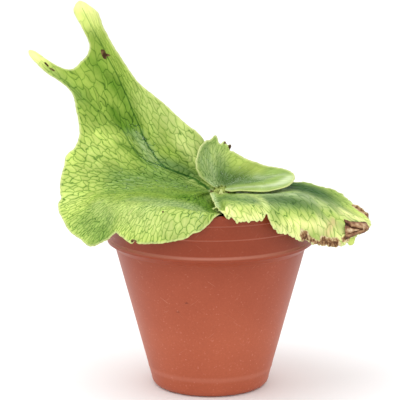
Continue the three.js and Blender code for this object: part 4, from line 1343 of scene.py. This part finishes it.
# %% Upper face: dry and burnt places, relief and gloss
# Dry leaf is straw-coloured at the edge of a patch and brown in the middle
crisp = add(tree, "ShaderNodeTexNoise", {"Vector": here, "Scale": per(3.85), "Detail": 5.0}, "Fac")
flaky = add(tree, "ShaderNodeTexNoise", {"Vector": here, "Scale": per(1.92), "Detail": 4.0}, "Fac")
parched = add(tree, "ShaderNodeMath", {0: crisp, 1: 0.9, 2: dry}, 0, operation="MULTIPLY_ADD")
brown = add(tree, "ShaderNodeMapRange", {"Value": parched, "From Min": 0.85, "From Max": 1.65}, 0)
brown = add(tree, "ShaderNodeMath", {0: flaky, 1: 1.8, 2: brown}, 0, operation="MULTIPLY_ADD")
brown = add(tree, "ShaderNodeMath", {0: brown, 1: 0.9}, 0, operation="SUBTRACT")
brown = add(tree, "ShaderNodeValToRGB", {"Fac": brown}, 0, stops=[
    (0.08, linear("#dccb9e")), (0.3, linear("#b5976b")),
    (0.55, linear("#906b47")), (0.8, linear("#5f3f2a"))])
scorched = add(tree, "ShaderNodeMapRange", {"Value": parched, "From Min": 0.82, "From Max": 0.98}, 0)
charring = add(tree, "ShaderNodeMath", {0: crisp, 1: 0.5, 2: burnt}, 0, operation="MULTIPLY_ADD")
charred = add(tree, "ShaderNodeMapRange", {"Value": charring, "From Min": 0.7, "From Max": 0.8}, 0)
char = add(tree, "ShaderNodeValToRGB", {"Fac": crisp}, 0, stops=[
    (0.4, linear("#3f2a16")), (0.65, linear("#7d6440"))])
for mask, colour in ((scorched, brown), (charred, char)):
    leaf = add(tree, "ShaderNodeMix", {0: mask, 6: leaf, 7: colour}, 2, data_type="RGBA")
# The pads are geometry already. The bump adds their steep sides, and the streaks
relief = add(tree, "ShaderNodeMapRange", {"Value": seam, "From Min": 0.0, "From Max": 0.8}, 0)
relief = add(tree, "ShaderNodeMath", {0: relief, 1: clear}, 0, operation="MULTIPLY")
relief = add(tree, "ShaderNodeMath", {0: streak, 1: 0.6, 2: relief}, 0, operation="MULTIPLY_ADD")
bump = add(tree, "ShaderNodeBump", {"Strength": 0.5, "Distance": 0.25 * MM, "Height": relief}, 0)
skin = add(tree, "ShaderNodeBsdfPrincipled",
           {"Base Color": leaf, "Roughness": 0.5, "IOR": 1.4, "Specular IOR Level": 0.12,
            "Normal": bump}, 0)
add(tree, "ShaderNodeOutputMaterial", {"Surface": skin})
print("upper face nodes:", len(tree.nodes))

# %% [markdown]
# The underside has no wax but a thin coat of hairs, so it is paler and matt, with a sheen where it
# is seen at a slant. Its veins stand out a little. The cut edge shows the pale flesh between the
# two skins. Felt hairs are dry and white, and a dead leaf loses its wax and breaks into browns.

# %% The underside
tree = start_material(under)
tint = add(tree, "ShaderNodeAttribute", out="Color", attribute_name="tint")
here = add(tree, "ShaderNodeTexCoord", out="Object")
seam = seam_distance(tree)
blotch = add(tree, "ShaderNodeTexNoise", {"Vector": here, "Scale": per(16.7), "Detail": 4.0}, "Fac")
leaf = add(tree, "ShaderNodeMix", {0: 0.6, 6: tint, 7: linear("#a5bf7a")}, 2, data_type="RGBA")
light = add(tree, "ShaderNodeMapRange", {"Value": blotch, "From Min": 0.3, "From Max": 0.7,
                                         "To Min": 0.8, "To Max": 1.05}, 0)
leaf = add(tree, "ShaderNodeVectorMath", {0: leaf, "Scale": light}, 0, operation="SCALE")
line = add(tree, "ShaderNodeMapRange", {"Value": seam, "From Min": 0.2, "From Max": 0.7,
                                        "To Min": 0.6, "To Max": 0.0}, 0,
           interpolation_type="SMOOTHSTEP")
leaf = add(tree, "ShaderNodeMix", {0: line, 6: leaf, 7: linear("#c4d4bc")}, 2,
           data_type="RGBA", blend_type="MULTIPLY")
bump = add(tree, "ShaderNodeBump", {"Strength": 0.5, "Distance": 0.3 * MM, "Height": line}, 0)
skin = add(tree, "ShaderNodeBsdfPrincipled",
           {"Base Color": leaf, "Roughness": 0.6, "IOR": 1.4, "Sheen Weight": 0.4, "Normal": bump}, 0)
add(tree, "ShaderNodeOutputMaterial", {"Surface": skin})
print("underside nodes:", len(tree.nodes))

# %% The cut edge and the felt
plain = (
    (rim, {"Base Color": linear("#dae29a"), "Roughness": 0.6, "IOR": 1.4, "Specular IOR Level": 0.1}),
    (hair, {"Base Color": linear("#cfdac2"), "Roughness": 0.9}),
)
for material, values in plain:
    tree = start_material(material)
    skin = add(tree, "ShaderNodeBsdfPrincipled", values, 0)
    add(tree, "ShaderNodeOutputMaterial", {"Surface": skin})
print("materials of one colour:", [material.name for material, _ in plain])

# %% Dried leaf
tree = start_material(husk)
here = add(tree, "ShaderNodeTexCoord", out="Object")
height = add(tree, "ShaderNodeAttribute", out="Fac", attribute_name="height")
crisp = add(tree, "ShaderNodeTexNoise", {"Vector": here, "Scale": per(3.33), "Detail": 6.0}, "Fac")
# Painted shade and highlights: the higher a fold stands off the blade, the paler it is painted, so
# the creases come out dark and the raised folds pale
tone = add(tree, "ShaderNodeMapRange", {"Value": height, "From Min": 0.8, "From Max": 5.0,
                                        "To Min": -0.15, "To Max": 0.35}, 0)
tone = add(tree, "ShaderNodeMath", {0: crisp, 1: 0.9, 2: tone}, 0, operation="MULTIPLY_ADD")
brown = add(tree, "ShaderNodeValToRGB", {"Fac": tone}, 0, stops=[
    (0.3, linear("#42241a")), (0.5, linear("#7d5338")),
    (0.7, linear("#b08a64")), (0.9, linear("#dcc8a4"))])
bump = add(tree, "ShaderNodeBump", {"Strength": 0.6, "Distance": 0.3 * MM, "Height": crisp}, 0)
skin = add(tree, "ShaderNodeBsdfPrincipled",
           {"Base Color": brown, "Roughness": 0.75, "IOR": 1.4, "Normal": bump}, 0)
add(tree, "ShaderNodeOutputMaterial", {"Surface": skin})
print("dried leaf nodes:", len(tree.nodes))

# %% [markdown]
# ## Pot
#
# The pot is injection-moulded plastic: a straight tapered wall, a rounded foot, and a collar with
# a rounded ring at its lower edge. A profile turned about the axis gives exactly that, with enough
# sides that no facets show. A low ridge runs round the wall above the foot, the ring has a bevel
# and the collar two faint steps. Each is under a millimetre high, and the material paints a pale
# highlight along each for the line of light it catches.


# %% A helper for turned shapes
def turned(profile, sides):
    """Points and faces of a closed profile of (radius, height) turned about the upright axis."""
    around = np.linspace(0, 2 * math.pi, sides, endpoint=False)
    places, rings = [], []
    for radius, height in profile:
        if radius < 1e-6:
            rings.append([len(places)] * sides)
            places.append((0, 0, height))
        else:
            rings.append(list(range(len(places), len(places) + sides)))
            places += [(radius * math.cos(a), radius * math.sin(a), height) for a in around]
    faces = []
    for low, high in zip(rings, rings[1:]):
        for k in range(sides):
            m = (k + 1) % sides
            face = [low[k], low[m], high[m], high[k]]
            faces.append([v for n, v in enumerate(face) if v != face[n - 1]])
    return places, faces


print("faces of a turned cone:", len(turned([(0, 0), (2, 0), (0, 3)], 8)[1]))

# %% Profile of the pot
WALL_TOP, WALL, RING, RING_TOP, LIP, POT_TOP = 105, 70.5, 76, 112, 77, 143
FOOT, FOOT_ROUND, WALL_LOW = 38.5, 6, 44
THICK, FLOOR, SIDES = 2.2, 2.5, 160
LOW_STEP, HIGH_STEP, RIDGE = 125.3, 135.7, 14
rounding = [(FOOT + (WALL_LOW - FOOT) * math.sin(a), FOOT_ROUND * (1 - math.cos(a)))
            for a in np.linspace(0, math.pi / 2, 9)]
slope = (WALL - WALL_LOW) / (WALL_TOP - FOOT_ROUND)
ridge = [(WALL_LOW + slope * (z - FOOT_ROUND) + rise, z)
         for z, rise in ((RIDGE - 1.8, 0), (RIDGE, 0.25), (RIDGE + 2, 0))]
ring = [(WALL + 1.2, WALL_TOP + 1.2), (RING - 1.2, RING_TOP - 3.4), (RING + 0.3, RING_TOP - 2.4),
        (RING + 0.5, RING_TOP - 0.4), (RING - 0.5, RING_TOP + 1.0), (RING - 0.7, RING_TOP + 2.2)]
collar = [(RING - 0.3, LOW_STEP - 0.3), (RING + 0.2, LOW_STEP + 0.3),
          (RING + 0.4, HIGH_STEP - 0.3), (LIP, HIGH_STEP + 0.3)]
lip = [(LIP, POT_TOP - 1), (LIP - 1, POT_TOP), (LIP - 2.4, POT_TOP), (LIP - 3.2, POT_TOP - 1)]
inner = [(RING - 3.6, RING_TOP), (WALL - THICK, WALL_TOP - 2), (WALL_LOW - THICK, 7.5),
         (FOOT - 1, FLOOR), (0, FLOOR)]
profile = [(0, 0), *rounding, *ridge, (WALL, WALL_TOP), *ring, *collar, *lip, *inner]
pot = new_object("pot_blank", *turned(profile, SIDES))
print("profile points:", len(profile), "and pot height in mm:", round(pot.dimensions.z / MM, 1))

# %% [markdown]
# Nursery pots drain through round holes in the floor. They are cut with a boolean, as a drill would
# do it, because the holes cross the rings of the turned floor. The edge is then shaded sharp where
# it bends by more than 25 degrees.

# %% Drain holes
DRAINS, DRAIN_RADIUS, DRAIN_CIRCLE, DRAIN_SIDES = 5, 4.5, 24, 32
BELOW, ABOVE, SHARP = -2, 4, 25
plug_profile = [(0, BELOW), (DRAIN_RADIUS, BELOW), (DRAIN_RADIUS, ABOVE), (0, ABOVE)]
plug_places, plug_faces = turned(plug_profile, DRAIN_SIDES)
plugs = []
for k in range(DRAINS):
    a = 2 * math.pi * k / DRAINS
    middle = DRAIN_CIRCLE * np.array([math.cos(a), math.sin(a), 0])
    plugs.append(new_object(f"plug_{k}", np.array(plug_places) + middle, plug_faces))
plugs = join("plugs", *plugs)
cut = pot.modifiers.new("drain_holes", "BOOLEAN")
cut.operation, cut.solver, cut.object = "DIFFERENCE", "EXACT", plugs
pot = settle(pot, "nursery_pot")
bpy.data.objects.remove(plugs)
pot.data.shade_smooth()
pot.data.set_sharp_from_angle(angle=math.radians(SHARP))
print("pot faces with the holes:", len(pot.data.polygons))

# %% [markdown]
# The pot is polypropylene, coloured through and injection-moulded. That gives an even satin skin
# with an IOR of 1.49. Painted shade darkens it towards the top, under the collar and the leaves, and
# painted light makes it paler towards the foot, where the floor throws light up. Use has left a little
# dust and hairline scratches, and painted highlights lie along the ring, the collar and the ridge.

# %% The plastic, with painted shade and light
plastic = bpy.data.materials.new("terracotta_polypropylene")
pot.data.materials.append(plastic)
tree = start_material(plastic)
here = add(tree, "ShaderNodeTexCoord", out="Object")
height = add(tree, "ShaderNodeSeparateXYZ", {0: here}, "Z")
cloud = add(tree, "ShaderNodeTexNoise", {"Vector": here, "Scale": per(45.5), "Detail": 4.0}, "Fac")
# Painted shade and light: darker under the collar and leaves, paler towards the foot; dust follows it
painted_light_and_dust = add(tree, "ShaderNodeMapRange", {"Value": height, "From Min": 118 * MM, "From Max": 45 * MM,
                                        "To Min": 0.0, "To Max": 0.6}, 0)
painted_light_and_dust = add(tree, "ShaderNodeMath", {0: cloud, 1: 0.4, 2: painted_light_and_dust}, 0, operation="MULTIPLY_ADD")
colour = add(tree, "ShaderNodeValToRGB", {"Fac": painted_light_and_dust}, 0, stops=[
    (0.15, linear("#8e3a1d")), (0.5, linear("#a24c30")), (0.85, linear("#b25a3c"))])
# The moulded skin is faintly mottled, in spots about 1.4 mm wide
speck = add(tree, "ShaderNodeTexNoise", {"Vector": here, "Scale": per(1.43), "Detail": 2.0}, "Fac")
mottle = add(tree, "ShaderNodeMapRange", {"Value": speck, "From Min": 0.3, "From Max": 0.7,
                                          "To Min": 0.94, "To Max": 1.04}, 0)
colour = add(tree, "ShaderNodeVectorMath", {0: colour, "Scale": mottle}, 0, operation="SCALE")
print("plastic nodes so far:", len(tree.nodes))

# %% Marks of use on the pot, and painted highlights
dust = add(tree, "ShaderNodeMapRange", {"Value": speck, "From Min": 0.66, "From Max": 0.76}, 0)
for share in (painted_light_and_dust, 0.5):
    dust = add(tree, "ShaderNodeMath", {0: dust, 1: share}, 0, operation="MULTIPLY")
marks = [(dust, "#d9a892")]
# Hairline scratches, some one way and some the other, are the peaks of a noise whose cells are
# 0.6 mm wide and 16 mm long
CELL_WIDE, CELL_LONG = 0.6 * MM, 16 * MM
for turn in ((0.3, 0.7, 0.5), (-0.4, -0.9, 0.3)):
    lined = add(tree, "ShaderNodeMapping",
                {"Vector": here, "Rotation": turn, "Scale": (CELL_WIDE, CELL_LONG, CELL_LONG)},
                0, vector_type="TEXTURE")
    scratch = add(tree, "ShaderNodeTexNoise", {"Vector": lined, "Scale": 1.0, "Detail": 1.0}, "Fac")
    scratch = add(tree, "ShaderNodeMapRange", {"Value": scratch, "From Min": 0.74, "From Max": 0.82,
                                               "To Min": 0.0, "To Max": 0.4}, 0)
    marks.append((scratch, "#cf9076"))
# Painted highlights: the bevel of the ring, the two steps of the collar and the ridge above the foot
# are painted paler, for the line of light each would catch
PAINTED_HIGHLIGHTS = ((RING_TOP + 0.4, 0.5, 1.3), (LOW_STEP + 0.1, 0.25, 0.7), (HIGH_STEP, 0.2, 0.7),
          (RIDGE, 0.2, 2.6))
for level, highlight_strength, wide in PAINTED_HIGHLIGHTS:
    away_by = add(tree, "ShaderNodeMath", {0: height, 1: level * MM}, 0, operation="SUBTRACT")
    away_by = add(tree, "ShaderNodeMath", {0: away_by}, 0, operation="ABSOLUTE")
    highlight = add(tree, "ShaderNodeMapRange", {"Value": away_by, "From Min": 0.3 * wide * MM,
                                              "From Max": wide * MM, "To Min": highlight_strength, "To Max": 0.0}, 0)
    marks.append((highlight, "#d08a74"))
# Two small scuffs on the front are dark
for spot in ((-17.4, -60.2, 76.3), (-23.7, -56.2, 68.8)):
    centre = tuple(v * MM for v in spot)
    far = add(tree, "ShaderNodeVectorMath", {0: here, 1: centre}, "Value", operation="DISTANCE")
    far = add(tree, "ShaderNodeMath", {0: speck, 1: 3.2 * MM, 2: far}, 0, operation="MULTIPLY_ADD")
    scuff = add(tree, "ShaderNodeMapRange", {"Value": far, "From Min": 2.0 * MM, "From Max": 3.0 * MM,
                                             "To Min": 0.6, "To Max": 0.0}, 0)
    marks.append((scuff, "#5a2416"))
for mask, code in marks:
    colour = add(tree, "ShaderNodeMix", {0: mask, 6: colour, 7: linear(code)}, 2, data_type="RGBA")
shell = add(tree, "ShaderNodeBsdfPrincipled",
            {"Base Color": colour, "Roughness": 0.42, "IOR": 1.49, "Specular IOR Level": 0.3}, 0)
add(tree, "ShaderNodeOutputMaterial", {"Surface": shell})
piece_done(pot, "pot", "pot")

# %% [markdown]
# ## Bark, moss and the creeping stem
#
# The medium is a bed of bark chips with a low mound of moss round the stem. The bed is a solid of
# revolution with an uneven top, and the scatter tree strews chips and moss sprigs over it.

# %% The bed
EDGE, MOUND, MOUND_PLACE, MOUND_WIDTH = 125, 15, (6, 12), 26
UNDER_CHIPS, BED_FLOOR, BED_SIDES = 1.0, 2.8, 120


def bed_height(x, y):
    """Lumps about a millimetre high, 18 and 8 mm wide, and the mound of moss round the stem."""
    lump = np.sin(x * 0.35 + 1) * np.cos(y * 0.31) + 0.5 * np.sin(x * 0.8 - y * 0.7)
    far = np.hypot(x - MOUND_PLACE[0], y - MOUND_PLACE[1]) / MOUND_WIDTH
    return EDGE + 0.9 * lump + MOUND * np.exp(-far * far)


# The bed stays 0.3 mm clear of the pot's wall and floor
lower = [(0, BED_FLOOR), (FOOT - 2, BED_FLOOR), (WALL_LOW - 2.5, 8), (WALL - 2.5, WALL_TOP - 2),
         (RING - 3.9, RING_TOP), (RING - 3.7, EDGE - 3)]
top = [(radius, EDGE) for radius in np.linspace(70, 0, 36)]
places, faces = turned(lower + top, BED_SIDES)
places = np.array(places, float)
on_top = places[:, 2] > EDGE - 1
places[on_top, 2] = bed_height(places[on_top, 0], places[on_top, 1]) - UNDER_CHIPS
bed = new_object("bark_bed", places, faces)
bed.data.shade_smooth()
print("the bed's mound reaches", round(places[:, 2].max(), 1), "mm")

# %% [markdown]
# A bark chip is a flake with six corners, split off along the grain. A moss sprig is a thin stalk
# with a spiral of pointed leaflets. Both have only a few faces, because hundreds of copies are laid.

# %% One chip and one sprig
draw = np.random.default_rng(4)
HALF_CHIP, CHIPPED = 1.1, 0.5
CHIP_OUTLINE = [(-4, -2), (0, -2.6), (4, -1.6), (4.4, 1.4), (0.5, 2.4), (-3.8, 2)]
corners = np.array([(x, y, z) for z in (-1, 1) for x, y in CHIP_OUTLINE], float)
corners[:, 2] *= HALF_CHIP
corners += draw.uniform(-CHIPPED, CHIPPED, corners.shape)
walls = [(k, (k + 1) % 6, (k + 1) % 6 + 6, k + 6) for k in range(6)]
chip = new_object("bark_chip", corners, [(5, 4, 3, 2, 1, 0), tuple(range(6, 12)), *walls])

LEAFLETS, LEAF_TURN, LEAF_STEP, LEAF_REACH, LEAF_RISE, LEAF_HALF = 7, 2.4, 0.9, 2.0, 1.8, 0.45
leaflets = []
for k in range(LEAFLETS):
    a, h = k * LEAF_TURN, 1.0 + k * LEAF_STEP
    side = (LEAF_HALF * math.cos(a + 1.57), LEAF_HALF * math.sin(a + 1.57))
    point = (LEAF_REACH * math.cos(a), LEAF_REACH * math.sin(a), h + LEAF_RISE)
    leaflets += [(*side, h), (-side[0], -side[1], h), point]
stalk = [(-0.25, 0, 0), (0.25, 0, 0), (0, 0.1, 8)]
leaflets += stalk
sprig = new_object("moss_sprig", leaflets, [(k, k + 1, k + 2) for k in range(0, len(leaflets), 3)])
print("faces of a chip and of a sprig:", len(chip.data.polygons), len(sprig.data.polygons))

# %% Chips and sprigs on the bed
# Split bark of a fir, rough and corky, and bog moss that has dried from green to straw
bark = bpy.data.materials.new("fir_bark")
moss = bpy.data.materials.new("sphagnum_moss")
MOSS_PLACE, MOSS_WIDTH, STREWN = (6, 8), 17, 68
spots = np.array([v.co for v in bed.data.vertices]) / MM
up_there = (spots[:, 2] > EDGE - 4) & (np.hypot(spots[:, 0], spots[:, 1]) < STREWN)
far = np.hypot(spots[:, 0] - MOSS_PLACE[0], spots[:, 1] - MOSS_PLACE[1]) / MOSS_WIDTH
near_stem = np.exp(-(far**2))
chips = scatter(bed, up_there * 1.0, "bark_chips", chip, bark, 11,
                Density=7e4, Smallest=0.6, Largest=1.3, Lean=0.35)
sprigs = scatter(bed, up_there * (0.15 + near_stem), "moss", sprig, moss, 21,
                 Density=2.6e5, Smallest=0.35, Largest=0.75, Lean=0.9)
bed.data.materials.append(bark)
bed = join("bark_bed", bed, chips)
piece_done(bed, "potting_medium", "potting_medium")
piece_done(sprigs, "potting_medium")
for thing in (chip, sprig):
    bpy.data.objects.remove(thing)

# %% [markdown]
# Bark has no gloss: light sinks into its cork, and a fine grain breaks up what comes back. Each
# chip has a brown of its own, from wet and nearly black to weathered and tan, which comes from the
# tone that the scatter tree gave it. Moss is as matt, and fades from green to straw.

# %% Bark and moss materials
tree = start_material(bark)
here = add(tree, "ShaderNodeTexCoord", out="Object")
patchy = add(tree, "ShaderNodeTexNoise", {"Vector": here, "Scale": per(7.69), "Detail": 6.0}, "Fac")
grain = add(tree, "ShaderNodeTexNoise", {"Vector": here, "Scale": per(1.11), "Detail": 3.0}, "Fac")
tone = add(tree, "ShaderNodeAttribute", out="Fac", attribute_name="tone")
patchy = add(tree, "ShaderNodeMath", {0: tone, 1: 0.4, 2: patchy}, 0, operation="MULTIPLY_ADD")
brown = add(tree, "ShaderNodeValToRGB", {"Fac": patchy}, 0, stops=[
    (0.4, linear("#20150f")), (0.6, linear("#4b3122")),
    (0.8, linear("#7d583c")), (0.95, linear("#a98662"))])
bump = add(tree, "ShaderNodeBump", {"Strength": 0.7, "Distance": 0.5 * MM, "Height": grain}, 0)
skin = add(tree, "ShaderNodeBsdfPrincipled",
           {"Base Color": brown, "Roughness": 0.85, "Normal": bump}, 0)
add(tree, "ShaderNodeOutputMaterial", {"Surface": skin})
tree = start_material(moss)
here = add(tree, "ShaderNodeTexCoord", out="Object")
patchy = add(tree, "ShaderNodeTexNoise", {"Vector": here, "Scale": per(5), "Detail": 2.0}, "Fac")
green = add(tree, "ShaderNodeValToRGB", {"Fac": patchy}, 0, stops=[
    (0.35, linear("#4c5a2a")), (0.65, linear("#9a9a5c"))])
skin = add(tree, "ShaderNodeBsdfPrincipled", {"Base Color": green, "Roughness": 0.8}, 0)
add(tree, "ShaderNodeOutputMaterial", {"Surface": skin})
print("bark and moss nodes:", len(bark.node_tree.nodes), len(moss.node_tree.nodes))

# %% [markdown]
# The stem ends in a bud wrapped in papery scales. They overlap like roof tiles in rows that turn
# by the golden angle, which is how most buds grow, so a loop places them with that rule.

# %% The stem and its scaly bud
STEM_FOOT, STEM_LENGTH, STEM_LEAN, STEM_RADIUS = (7.5, 11, 118), 37, 32, 4.8
SCALES, GOLDEN_ANGLE, STEM_SIDES = 70, 2.39996, 28
# Shares of the stem's length: where the scales begin, how far they go on, and where they close
SCALES_FROM, SCALES_OVER, CLOSING = 0.5, 0.47, 0.9
# How deep a scale's foot is sunk and tucked, how it leans before and after, and its keel
SUNK, TUCKED, LEAN_OUT, LEAN_IN, KEEL = 0.2, 1.5, 0.12, -0.45, 0.25
body_radius, body_length = STEM_RADIUS * 0.9, STEM_LENGTH * 0.98
spindle = [(0, 0), (0.55, 0.02), (0.85, 0.12), (1, 0.35), (1.05, 0.7), (1.3, 0.86), (1.22, 0.94),
           (0.75, 0.985), (0, 1)]
spindle = [(r * body_radius, t * body_length) for r, t in spindle]
# A scale is four rows of points: how far up it, half its width there, and how far it stands off
SCALE_ROWS = ((0, 0.6, 0), (1.6, 1.15, 0.35), (3.2, 0.8, 0.45), (4.6, 0.05, 0.4))
places, faces = turned(spindle, STEM_SIDES)
for k in range(SCALES):
    t = SCALES_FROM + SCALES_OVER * k / (SCALES - 1)
    a, base = k * GOLDEN_ANGLE, t * body_length
    radius = np.interp(base, [p[1] for p in spindle], [p[0] for p in spindle])
    out = np.array([math.cos(a), math.sin(a), 0.0])
    side = np.array([-math.sin(a), math.cos(a), 0.0])
    root = out * (radius - SUNK) + [0, 0, base - TUCKED]
    rise = np.array([0, 0, 1.0]) + out * (LEAN_OUT if t < CLOSING else LEAN_IN)
    first = len(places)
    for reach, wide, lift in SCALE_ROWS:
        middle = root + rise * reach + out * lift
        places += [middle - side * wide, middle + out * KEEL, middle + side * wide]
    corner = [first + row * 3 + column for row in range(3) for column in range(2)]
    faces += [(v, v + 1, v + 4, v + 3) for v in corner]
places = np.array([tuple(p) for p in places], float)
lean = math.radians(STEM_LEAN)
spin = np.array([[1, 0, 0], [0, math.cos(lean), -math.sin(lean)], [0, math.sin(lean), math.cos(lean)]])
places = places @ spin.T + STEM_FOOT
stem = new_object("stem_and_bud", places, faces)
stem.data.shade_smooth()
print("the stem reaches", round(places[:, 2].max(), 1), "mm")

# %% Bud scales
# The thin scales that cover a fern's stem: papery, so matt, and streaked green and straw
papery = bpy.data.materials.new("papery_bud_scales")
stem.data.materials.append(papery)
tree = start_material(papery)
here = add(tree, "ShaderNodeTexCoord", out="Object")
streak = add(tree, "ShaderNodeTexNoise", {"Vector": here, "Scale": per(2.5), "Detail": 3.0}, "Fac")
colour = add(tree, "ShaderNodeValToRGB", {"Fac": streak}, 0, stops=[
    (0.35, linear("#7d8f38")), (0.65, linear("#c3cf74"))])
skin = add(tree, "ShaderNodeBsdfPrincipled", {"Base Color": colour, "Roughness": 0.7}, 0)
add(tree, "ShaderNodeOutputMaterial", {"Surface": skin})
piece_done(stem, "rhizome", "rhizome")

# %% [markdown]
# ## Floor, light and camera
#
# The plant stands on a plain pale floor in soft light from all around, with one broad light above
# and to the left. The camera has a long lens and looks down by 12 degrees.

# %% Floor
FLOOR_SIZE = 8
bpy.ops.mesh.primitive_plane_add(size=FLOOR_SIZE, location=(0, 0, 0))
floor = bpy.context.object
floor.name = "floor"
# Matt studio paper, nearly white
paper = bpy.data.materials.new("white_paper")
tree = start_material(paper)
sheet = add(tree, "ShaderNodeBsdfPrincipled", {"Base Color": linear("#fbfbfb"), "Roughness": 0.9}, 0)
add(tree, "ShaderNodeOutputMaterial", {"Surface": sheet})
floor.data.materials.append(paper)
print("floor", FLOOR_SIZE, "m wide")

# %% Light
world = bpy.data.worlds.new("studio")
bpy.context.scene.world = world
tree = start_material(world)
sky = add(tree, "ShaderNodeBackground", {"Color": linear("#ffffff"), "Strength": 1.1}, 0)
add(tree, "ShaderNodeOutputWorld", {"Surface": sky})

WATTS, SOFTBOX, HUNG_AT, AIMED_AT = 9, 1.2, (-0.5, -0.3, 1.8), (0, 0, 0.12)
light = bpy.data.lights.new("overhead_softbox", "AREA")
light.energy, light.size = WATTS, SOFTBOX
lamp = bpy.data.objects.new("overhead_softbox", light)
bpy.context.scene.collection.objects.link(lamp)
lamp.location = HUNG_AT
aim = np.array(AIMED_AT) - np.array(HUNG_AT)
lamp.rotation_euler = Euler((math.atan2(math.hypot(aim[0], aim[1]), -aim[2]), 0,
                             math.atan2(-aim[0], aim[1])))
print("softbox of", SOFTBOX, "m, hung", round(float(np.linalg.norm(aim)), 2), "m from the plant")

# %% Camera
# It stands where the landmarks' eye is, to a third of a millimetre
STAND, LOOK_DOWN, LENS, SENSOR = (-0.0077, -1.446, 0.445), 11.95, 180.3, 36
camera = bpy.data.objects.new("camera", bpy.data.cameras.new("camera"))
bpy.context.scene.collection.objects.link(camera)
camera.location = STAND
camera.rotation_euler = (math.radians(90 - LOOK_DOWN), 0, 0)
camera.data.lens, camera.data.sensor_width = LENS, SENSOR
bpy.context.scene.camera = camera
# The film-like default view would grey the yellow greens
bpy.context.scene.view_settings.view_transform = "Standard"
print("camera", [round(v, 3) for v in camera.location])
